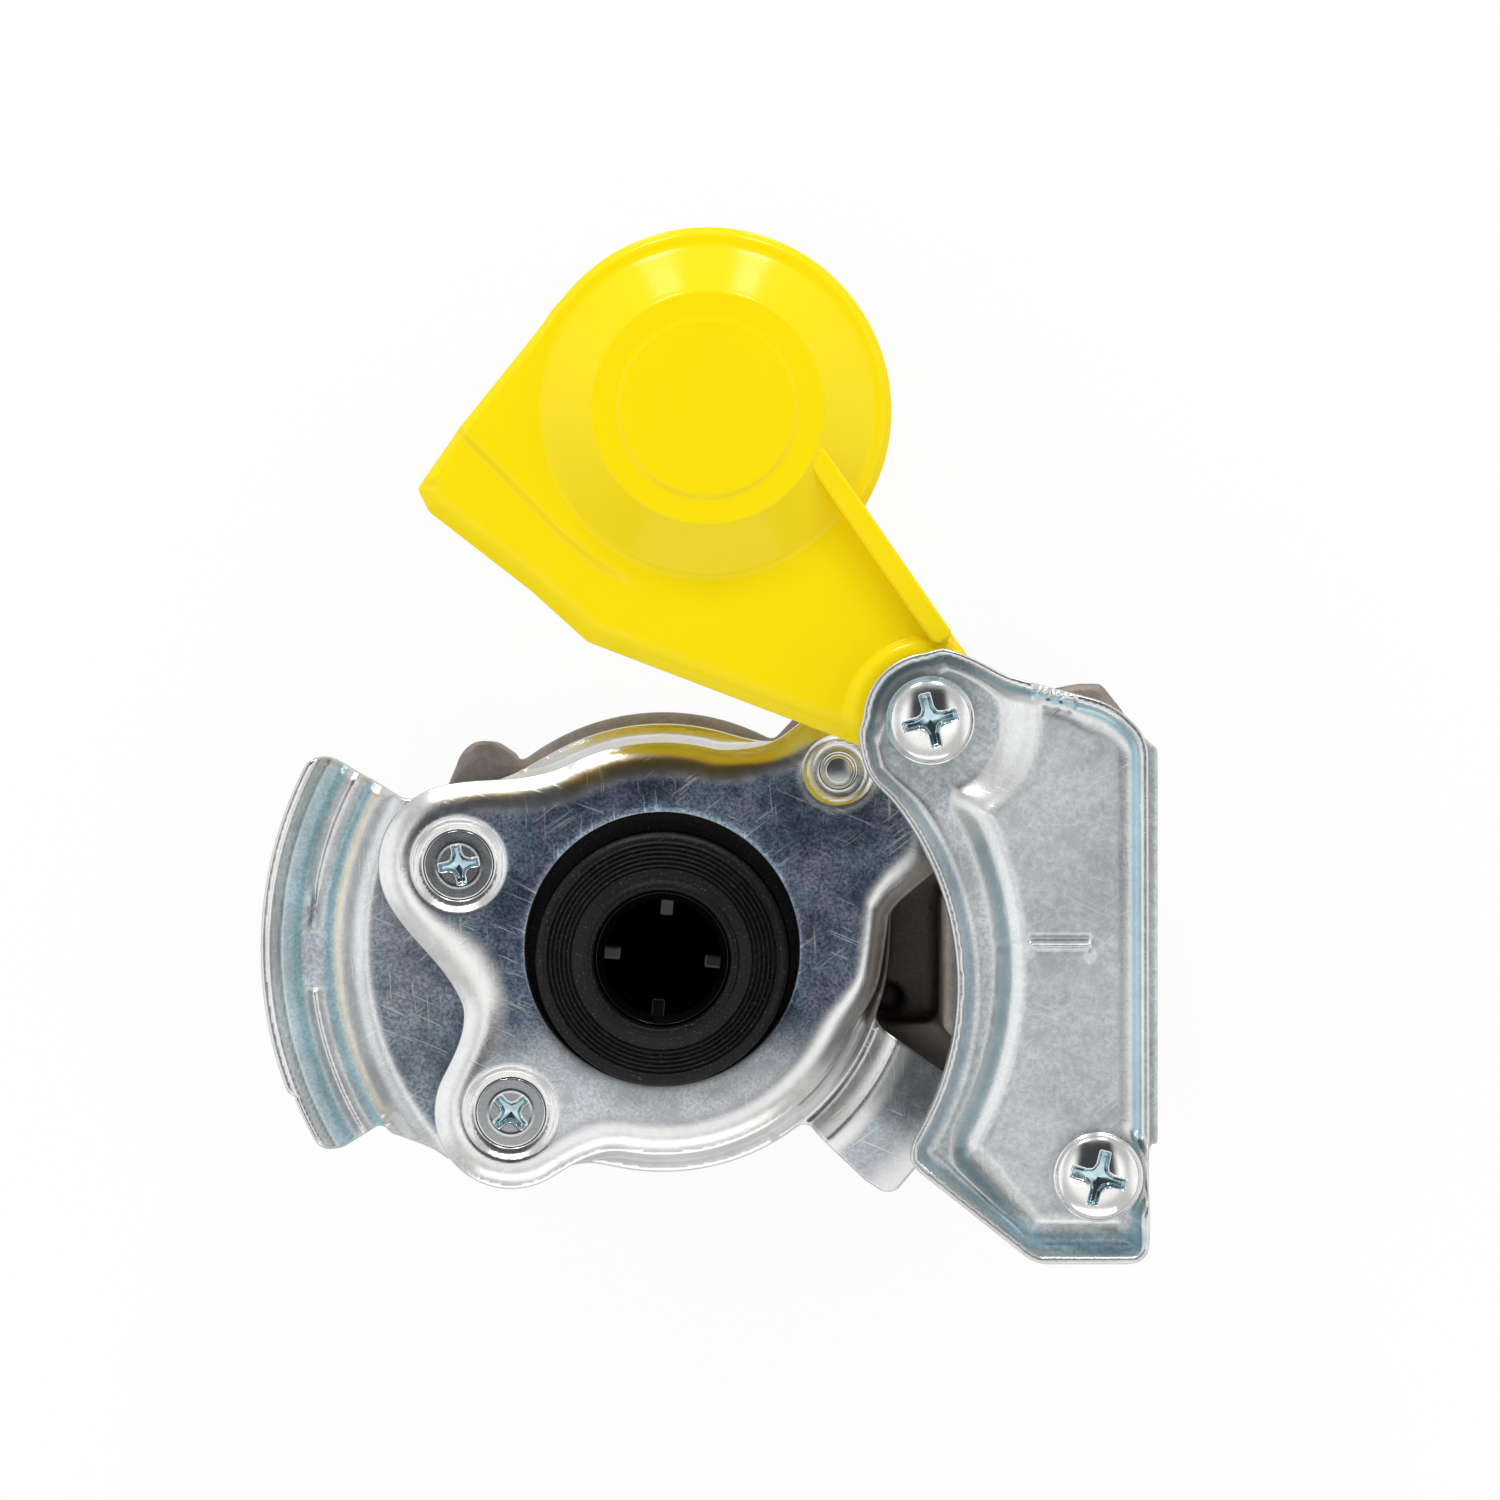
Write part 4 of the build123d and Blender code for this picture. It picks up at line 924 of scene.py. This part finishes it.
def build_guide(sizes):
    """Pressed tray with an upturned rim, a raised plateau and a lanced dimple."""
    wall, narrow, widening = sizes.rim_wall / MM, sizes.rim_bend / MM, 1.2
    half_slit = 4.0

    def share_up(x, y):
        edge = bent(-plateau_field(x, y, sizes), 1.5, (-3, 0.0), (-0.4, 0.0), (3.1, 1.0), (8, 1.0))
        hinge = bent(away(x, y, HINGE), 1.6, (0, 0.0), (9.1, 0.0), (14.0, 1.0), (40, 1.0))
        lower = np.minimum(edge, hinge)
        near = np.maximum(0.5 - np.abs(edge - hinge), 0) / 0.5
        return np.clip(lower - 0.125 * near ** 2 * ease((1 - lower) / 0.3), 0, 1)

    def plateau(x, y):
        return (PLATEAU_TOP - STRIP_TOP) * share_up(x, y)

    def bend_width(x, y):
        return narrow + widening * np.maximum(ease((-33 - y) / 3), 0.8 * ease((x - 52) / 4))

    def rim_rise(x, y):
        depth = -guide_field(x, y, sizes)
        bend = bend_width(x, y)
        share = np.clip((wall + bend - depth) / bend, 0, 1)
        rise = 1 - np.sqrt(1 - np.minimum(share, 0.995) ** 2)
        torn = ease((2.9 - np.abs(x - NUB[0])) / 0.6) * ease((y - 30) / 2)
        rough = 0.55 + 0.4 * np.sin(2.3 * x + 1.7 * y) * np.sin(1.1 * x - 3.7 * y)
        return rise * ease((away(x, y, GUIDE_SCREW) - 6.2) / 1.6) * (1 - torn * rough)

    def top(x, y):
        floor = STRIP_TOP + plateau(x, y)
        height = floor + (GUIDE_RIM_TOP - floor) * rim_rise(x, y)
        along, across = x - LANCE[0], y - LANCE[1]
        lip = 0.7 * ease((half_slit - np.abs(along)) / 0.4) * (bump(across / 0.5) - bump((across - 0.8) / 0.6))
        ends = 0.25 * bump(np.hypot(along + 3.8, (across + 0.7) / 1.2) / 0.8)
        ends = ends + 0.3 * bump(np.hypot(along - 3.9, (across + 1.0) / 1.6) / 1.0)
        line = -0.16 * bump((across + 0.1) / 1.1) * ease((-3.4 - along) / 1.5) * ease((9.5 + along) / 3)
        return height + np.maximum(lip, ends) + line + np.minimum(lip, 0)

    def bottom(x, y):
        outer = wall + narrow + 0.6
        share = np.clip((outer + np.minimum(guide_field(x, y, sizes), 0)) / outer, 0, 1)
        rise = 3.2 * (1 - np.sqrt(1 - np.minimum(share, 0.99) ** 2))
        return np.minimum(STRIP_BASE + plateau(x, y) + rise, top(x, y) - 1.2)

    # painted reflection: blue-green tint in the rim's hollow bend, and a blue-white tint on the plateau's slope
    def valley(x, y):
        bend = bend_width(x, y)
        side = np.maximum(ease((x - 54) / 4), ease((y - 22) / 6))
        depth = -guide_field(x, y, sizes) - wall - bend * (0.35 - 0.12 * side)
        band = (0.62 + 0.33 * side) * bump(depth / (bend * (0.5 - 0.14 * side)))
        edge = ease((away(x, y, HINGE) - 14.5) / 3)
        return np.clip(band + 0.6 * edge * bump((share_up(x, y) - 0.4) / 0.5), 0, 1)

    def haze(x, y):
        depth = -guide_field(x, y, sizes) - wall
        share = share_up(x, y)
        level = np.maximum(0.42 * ease((share - 0.86) / 0.12), 0.75 * ease((0.1 - share) / 0.1))
        inner = ease((depth - bend_width(x, y) * (1.04 - 0.3 * ease((x - 54) / 4))) / 0.8)
        # painted light: the rim's foot along the bottom and lower left is made milky so that it shows lighter
        foot = np.maximum(0.8 * ease((-30 - y) / 4), 0.3 * ease((46 - x) / 4) * ease((18 - y) / 5))
        foot = foot * ease(depth / 0.6)
        return np.clip(np.clip(0.15 + level, 0, 1) * (0.3 + 0.7 * inner) + foot * (1 - inner), 0, 1)

    shape = relief(lambda x, y: guide_field(x, y, sizes), top, bottom, (24, -42, 65, 41), 0.29, 0.3,
                   {"valley": valley, "haze": haze})
    piece("guide_tray", shape, "guide_steel", "guide_plate")


def build_cover(sizes):
    """Moulded dust cover: flange, dome, cup wall, rib and hinge hub."""
    dome, crown, badge, hub = sizes.dome / MM, sizes.crown / MM, sizes.badge / MM, sizes.hub / MM
    flange, sheet, rise, bore = 48.6, 2.2, 4.2, 6.06

    def top(x, y):
        depth, radius = -cover_field(x, y, sizes), away(x, y, COVER)
        low = ease((1.4 - line_distance(x, y, LOW_EDGE) + depth) / 1.0) * ease((radius - dome - 0.6) / 1.5)
        border = 1.3 + 1.9 * low
        height = flange - 1.25 * np.clip((border - depth) / border, 0, 1) ** 2
        below = y - np.interp(x, [p[0] for p in TAB_CREASE], [p[1] for p in TAB_CREASE])
        height = height - 0.45 * ease(-below / 1.6) * ease((-2.0 - x) / 6) * ease((radius - dome) / 2)
        height = height + bent(radius, 0.8, (0, rise), (crown, rise), (dome, 0.0), (60, 0.0))
        height = height + 0.25 * ease((badge - radius) / 0.35) + 0.14 * bump((radius - crown) / 0.5)
        return height + 1.4 * np.sqrt(1 - np.clip((away(x, y, HINGE) - hub + 0.2) / 2.1, 0, 1) ** 2)

    def bottom(x, y):
        height = flange - sheet - 1.0 * ease((1.9 + cover_field(x, y, sizes)) / 0.3)
        return height + bent(away(x, y, COVER), 0.5, (0, rise), (crown - 1.6, rise), (dome - 0.5, 0.0), (60, 0.0))

    def inside(x, y):
        return carved(cover_field(x, y, sizes), round_field(x, y, HINGE, bore))

    plate = relief(inside, top, bottom, (-34, 18, 46, 96), 0.33, 0.3)
    cup = lathe(softened(ring_section(21.1, 23.0, 42.4, 47.0), 0.3), COVER, 128)
    bush = lathe(softened(ring_section(bore, hub, 38.5, 50.0), 0.35), HINGE, 96)
    run, tail, hub_reach = (RIB_END[0] - RIB_START[0], RIB_END[1] - RIB_START[1]), 9.5, 11.6
    stop = hypot(*run) - (hub_reach ** 2 - hub ** 2) ** 0.5

    def rib_field(x, y):
        return box_field(x, y, ((stop - tail) / 2, -1.45), ((stop + tail) / 2, 1.45))

    def rib_top(x, y):
        return 52.6 - 1.7 * np.clip((x + tail) / (stop + tail), 0, 1)

    rib = relief(rib_field, rib_top, level_at(47.5), (-12, -5, stop + 2, 2), 0.35, 0.45)
    rib = placed(rib, RIB_START, atan2(run[1], run[0]))
    piece("dust_cover", merged(plate, cup, bush, rib), "cover_plastic", "cover", "swing_cover")


def cross_depth(x, y, arm, width, turn):
    """Depth share of a cross-shaped driver recess, deepest in the middle."""
    c, s = cos(radians(turn)), sin(radians(turn))
    u, v = x * c + y * s, -x * s + y * c
    bars = np.minimum(box_field(u, v, (0, 0), (arm, width / 2)), box_field(v, u, (0, 0), (arm, width / 2)))
    bars = joined(bars, np.hypot(u, v) - width * 0.9, 0.8)
    return ease(-bars / 0.4 + 0.15) * (1 - 0.45 * np.clip(np.hypot(u, v) / arm, 0, 1))


def build_screw(name, node, centre, turn, head, recess, stem, dull=0.0):
    """Screw with a cross recess.

    The head is its radius, its upper and lower surface by radius, half its grid's width, the grid's step and
    the edge's rounding. The recess is the arm, the width and the depth. The stem is the radius, the chamfer,
    the top and the foot. Dull is the mark of the middle's dull plating.
    """
    radius, top, base, half, step, edge = head
    arm, width, depth = recess
    stem_radius, chamfer, high, foot = stem

    def cross(x, y):
        return cross_depth(x - centre[0], y - centre[1], arm, width, turn)

    # painted shade: the cross recess gets a darker blue-green tint
    marks = {"valley": lambda x, y: np.clip(cross(x, y) * 1.6, 0, 1),
             "flat": lambda x, y: dull * ease((4.0 - away(x, y, centre)) / 0.5)}
    cap = relief(lambda x, y: round_field(x, y, centre, radius),
                 lambda x, y: top(away(x, y, centre)) - depth * cross(x, y), lambda x, y: base(away(x, y, centre)),
                 (centre[0] - half, centre[1] - half, centre[0] + half, centre[1] + half), step, edge, marks)
    outline = [(0.02, high), (stem_radius, high), (stem_radius, foot + chamfer), (stem_radius - chamfer, foot),
               (0.02, foot)]
    shank = lathe(softened(outline, 0.1, closed=False), centre, 48, closed=False)
    piece(name, merged(cap, shank), "screw_steel", node)


def build_pan_screw(name, node, centre, seat, length_below, turn):
    """Pan-head screw."""
    head, height, dome, corner = 5.75, 4.0, 11.0, 0.9

    def top(radius):
        shoulder = np.clip((radius - head + corner) / corner, 0, 1)
        drop = (1 - np.sqrt(1 - np.minimum(shoulder, 0.98) ** 2)) * corner
        return seat + height - drop - (dome - np.sqrt(dome ** 2 - radius ** 2))

    build_screw(name, node, centre, turn, (head, top, lambda radius: seat + 0 * radius, 6.2, 0.13, 0.2),
                (3.5, 1.35, 2.4), (3.0, 0.8, seat + 0.5, seat - length_below))


def build_flat_screw(name, node, centre, turn, dull):
    """Flat-head screw in the retainer's seat."""
    level = RETAINER_TOP - SEAT_DEPTH

    def top(radius):
        return level + 0.03 * bump((radius - 2.9) / 0.25)

    def base(radius):
        return level - 0.3 - np.clip(FLAT_HEAD - radius, 0, 2.05)

    build_screw(name, node, centre, turn, (FLAT_HEAD, top, base, 5, 0.12, 0.12), (2.6, 1.1, 1.9),
                (2.5, 0.6, level - 2.2, level - 14), dull)


def build_seal():
    """Rubber seal with its clamped flange, fine rings and raised lip."""
    shoulder, rise, start, end = 40.1, 1.3, 15.8, 10.9
    outer = [(9.0, 24.0), (12.6, 24.0), (12.6, 30.6), (19.6, 30.6), (19.6, 33.8), (16.7, 33.8), (16.7, 39.5)]
    profile = softened(outer, 0.4)[:-2] + [(16.68, 39.45), (16.5, 39.8), (start, shoulder)]
    rings = np.linspace(start - 0.2, end + 0.2, 150)
    height = shoulder + rise * ((start - rings) / (start - end)) ** 1.4
    for groove in range(6):
        middle = 12.0 + 0.6 * groove
        height = height - 0.24 * bump((rings - middle) / 0.2) + 0.09 * bump((rings - middle - 0.3) / 0.18)
    profile += list(zip(rings.tolist(), height.tolist()))
    profile += softened([(end, shoulder + rise), (10.25, 41.6), (10.0, LIP_LEVEL), (9.3, LIP_LEVEL), (9.0, 41.6)],
                        0.15, closed=False)
    piece("face_seal", lathe(profile, SEAL, 144), "seal_rubber", "seal_ring")


def build_support():
    """Plastic support inside the seal with four short spokes."""
    tube = [(7.65, 22.0), (12.35, 22.0), (12.35, 24.0), (8.75, 24.0), (8.75, 38.3), (7.65, 36.6)]
    shapes = [lathe(softened(tube, 0.3), SEAL, 96)]
    for turn in (-5, 85, 175, 265):
        spoke = relief(lambda x, y: box_field(x, y, (6.85, 0), (1.35, 1.0)),
                       lambda x, y: 34.5 - 0.2 * (8.2 - x), level_at(25.0), (5, -1.5, 9, 1.5), 0.25, 0.3)
        shapes.append(placed(spoke, SEAL, radians(turn)))
    piece("seal_cage", merged(*shapes), "support_plastic", "seal_support")


def build_rivet():
    """Locating rivet with its rolled ring."""
    top, seat = RETAINER_TOP - 0.1, RETAINER_TOP - 0.9
    profile = [(0.02, top), (1.7, top), (1.85, top - 0.45), (2.15, top - 0.4), (2.35, top), (2.75, top),
               (2.9, seat), (1.8, seat), (1.8, seat - 7.5), (0.02, seat - 7.5)]
    shape = lathe(softened(profile, 0.12, closed=False), RIVET, 64, closed=False)
    piece("round_rivet", shape, "screw_steel", "locating_rivet")


def build_sleeve(name, node, centre, radius, low, high):
    """Plain turned sleeve round a screw."""
    profile = softened(ring_section(HINGE_HOLE, radius, low, high), 0.3)
    piece(name, lathe(profile, centre, 72), "screw_steel", node)


# Stage


def build_backdrop():
    """Pale floor that shows as plain white to the camera, except under the port's boss, where it is painted black as
    the shadow seen down the bore.
    """
    half = 3.0
    mesh = bpy.data.meshes.new("floor")
    mesh.from_pydata([(-half, -half, 0), (half, -half, 0), (half, half, 0), (-half, half, 0)], [], [(0, 1, 2, 3)])
    floor = linked("floor", mesh)
    floor.location.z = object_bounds()[0][2] - 0.0005
    material, kit, shader = new_material("Floor", Roughness=1.0, Specular_IOR_Level=0.0)
    rays = kit.add("ShaderNodeLightPath").outputs
    distance = kit.from_axis(kit.add("ShaderNodeNewGeometry").outputs["Position"])
    # painted shadow: under the port's boss the floor is black and not white to the camera, so the bore looks dark
    beyond_bore_shadow = kit.math("GREATER_THAN", distance, BORE_SHADOW_RADIUS * MM)
    kit.feed(shader.inputs["Base Color"], kit.mix(beyond_bore_shadow, (0.0, 0.0, 0.0), (0.92, 0.92, 0.92)))
    seen = kit.math("MAXIMUM", rays["Is Camera Ray"], rays["Is Transmission Ray"])
    glow = kit.add("ShaderNodeEmission", {"Color": (*WHITE, 1.0), "Strength": 1.0})
    blend = kit.add("ShaderNodeMixShader", {0: kit.times(kit.times(seen, beyond_bore_shadow), 0.93), 1: shader.outputs[0],
                                            2: glow.outputs[0]})
    kit.feed(kit.tree.nodes["Material Output"].inputs["Surface"], blend.outputs[0])
    mesh.materials.append(material)
    floor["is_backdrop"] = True


def build_world():
    """Soft studio surround: bright at the sides, a dark field overhead, white to the camera."""
    world = bpy.data.worlds.new("Studio")
    bpy.context.scene.world = world
    world.use_nodes = True
    world.node_tree.nodes.clear()
    kit = Kit(world.node_tree)
    x, y, z = kit.add("ShaderNodeSeparateXYZ", {0: kit.add("ShaderNodeTexCoord").outputs["Generated"]}).outputs
    width, height = kit.math("ABSOLUTE", x), kit.math("MAXIMUM", z, 0.05)
    across, along = kit.math("DIVIDE", width, height), kit.math("DIVIDE", y, height)
    level = kit.mix(kit.ramp(z, 0.0, 0.2), (0.5, 0.5, 0.51), (0.62, 0.62, 0.62))
    walls = kit.times(kit.times(kit.ramp(width, 0.66, 0.8), kit.ramp(z, 0.12, 0.28)), kit.ramp(y, -0.6, -0.35))
    level = kit.mix(walls, level, (1.1, 1.12, 1.14))
    ring = kit.mix(kit.ramp(y, -0.4, -0.1), (1.05, 1.05, 1.05), (1.3, 1.3, 1.3))
    level = kit.mix(kit.ramp(z, 0.70, 0.84), level, ring)
    level = kit.mix(kit.ramp(z, 0.93, 0.985), level, (0.6, 0.62, 0.64))
    field = kit.times(kit.ramp(across, 0.40, 0.66, 1.0, 0.0), kit.ramp(along, -0.13, 0.0))
    level = kit.tinged(level, field, kit.ramp(along, 0.9, 1.3, 1.0, 0.0), (0.05, 0.055, 0.065))
    camera = kit.add("ShaderNodeLightPath").outputs["Is Camera Ray"]
    sky = kit.add("ShaderNodeBackground", {"Color": kit.mix(camera, level, WHITE),
                                           "Strength": kit.ramp(camera, 0.0, 1.0, 1.12, 1.0)})
    kit.add("ShaderNodeOutputWorld", {"Surface": sky.outputs[0]})


def build_lamp(name, place, wide, high, power):
    """Soft rectangular lamp that faces the coupler."""
    lamp = bpy.data.lights.new(name, "AREA")
    lamp.shape, lamp.size, lamp.size_y, lamp.energy = "RECTANGLE", wide, high, power
    item = linked(name, lamp)
    item.location = place
    aim = np.array(LIT_PLACE) - np.array(place)
    item.rotation_euler = (atan2(hypot(aim[0], aim[1]), -aim[2]), 0.0, atan2(aim[1], aim[0]) - pi / 2)


def build_camera():
    """Camera that looks straight down on the coupling face."""
    view = bpy.data.cameras.new("Camera")
    view.lens, view.sensor_width = CAMERA_LENS, 36.0
    item = linked("Camera", view)
    item.location = CAMERA_PLACE
    bpy.context.scene.camera = item


# Operators


class COUPLER_OT_finishes(Operator):
    """Makes the shader groups and the materials"""
    bl_idname = "coupler.finishes"
    bl_label = "Finishes"

    def execute(self, context):
        colours = context.scene.coupler_colours
        for build_group in (build_cloud_group, build_scratch_group, build_grain_group):
            build_group()
        for name, scale in (("Claw zinc", 1.0), ("Retainer zinc", 1.1), ("Guide zinc", 0.8)):
            zinc_material(name, colours, scale)
        for make in (screw_material, cast_material, cover_material, rubber_material, support_material):
            make(colours)
        return {"FINISHED"}


class COUPLER_OT_plates(Operator):
    """Builds the retainer plate and the claw plate"""
    bl_idname = "coupler.plates"
    bl_label = "Retainer and claw plates"

    def execute(self, context):
        build_retainer(context.scene.coupler_plates)
        build_claw_plate(context.scene.coupler_plates)
        return {"FINISHED"}


class COUPLER_OT_guide(Operator):
    """Builds the guide plate and the side plate"""
    bl_idname = "coupler.guide"
    bl_label = "Guide plate"

    def execute(self, context):
        build_guide(context.scene.coupler_guide)
        softened_copy("side_sheet", "side_plate", "guide_steel", 0.35, 4, haze=0.7)
        return {"FINISHED"}


class COUPLER_OT_cover(Operator):
    """Builds the swing cover"""
    bl_idname = "coupler.cover"
    bl_label = "Swing cover"

    def execute(self, context):
        build_cover(context.scene.coupler_cover)
        return {"FINISHED"}


class COUPLER_OT_seal(Operator):
    """Builds the seal and its support"""
    bl_idname = "coupler.seal"
    bl_label = "Seal"

    def execute(self, context):
        build_seal()
        build_support()
        return {"FINISHED"}


class COUPLER_OT_fasteners(Operator):
    """Builds the screws, the rivet and the sleeves"""
    bl_idname = "coupler.fasteners"
    bl_label = "Fasteners"

    def execute(self, context):
        build_pan_screw("hinge_pan_screw", "hinge_screw", HINGE, STRIP_TOP, 30.0, 14)
        build_pan_screw("guide_pan_screw", "guide_screw", GUIDE_SCREW, PLATEAU_TOP, 25.0, -15)
        build_flat_screw("upper_flat_screw", "upper_plate_screw", UPPER_SCREW, 10, 1.0)
        build_flat_screw("lower_flat_screw", "lower_plate_screw", LOWER_SCREW, 42, 0.2)
        build_rivet()
        build_sleeve("bush_sleeve", "hinge_bush", HINGE, 6.0, RETAINER_TOP, STRIP_BASE)
        build_sleeve("spacer_sleeve", "distance_sleeve", GUIDE_SCREW, 5.5, 45.4, PLATEAU_TOP - 2.0)
        return {"FINISHED"}


class COUPLER_OT_housing(Operator):
    """Builds the cast housing"""
    bl_idname = "coupler.housing"
    bl_label = "Housing"

    def execute(self, context):
        softened_copy("cast_body", "housing", "cast_housing", 0.7, 5)
        return {"FINISHED"}


class COUPLER_OT_stage(Operator):
    """Builds the floor, the light and the camera"""
    bl_idname = "coupler.stage"
    bl_label = "Stage"

    def execute(self, context):
        context.scene.view_settings.view_transform = "Standard"
        build_backdrop()
        build_world()
        build_lamp("Left box", (-0.26, 0.90, 0.50), 0.18, 0.24, 2.5)
        build_lamp("Right box", (0.24, 0.92, 0.50), 0.15, 0.24, 2.3)
        build_lamp("Low box", (0.0, -0.8, 0.55), 1.0, 0.3, 1.0)
        build_camera()
        return {"FINISHED"}


class COUPLER_PT_panel(Panel):
    """Steps that build the coupler"""
    bl_label = "Coupler"
    bl_idname = "COUPLER_PT_panel"
    bl_space_type = "VIEW_3D"
    bl_region_type = "UI"
    bl_category = "Coupler"

    def draw(self, context):
        for step in STEPS:
            self.layout.operator(step.bl_idname)
        for name in GROUPS:
            group = getattr(context.scene, name)
            box = self.layout.box()
            for key in group.__annotations__:
                box.prop(group, key)


STEPS = (COUPLER_OT_stage, COUPLER_OT_finishes, COUPLER_OT_housing, COUPLER_OT_plates, COUPLER_OT_guide,
         COUPLER_OT_seal, COUPLER_OT_fasteners, COUPLER_OT_cover)
GROUPS = {
    "coupler_plates": CouplerPlateSizes,
    "coupler_guide": CouplerGuideSizes,
    "coupler_cover": CouplerCoverSizes,
    "coupler_colours": CouplerColours,
}


def register():
    for name, group in GROUPS.items():
        bpy.utils.register_class(group)
        setattr(bpy.types.Scene, name, PointerProperty(type=group))
    for kind in (*STEPS, COUPLER_PT_panel):
        bpy.utils.register_class(kind)


def unregister():
    for kind in (COUPLER_PT_panel, *reversed(STEPS)):
        bpy.utils.unregister_class(kind)
    for name, group in reversed(GROUPS.items()):
        delattr(bpy.types.Scene, name)
        bpy.utils.unregister_class(group)


def main():
    """Builds everything."""
    register()
    for step in STEPS:
        area, name = step.bl_idname.split(".")
        getattr(getattr(bpy.ops, area), name)()


if __name__ == "__main__":
    main()
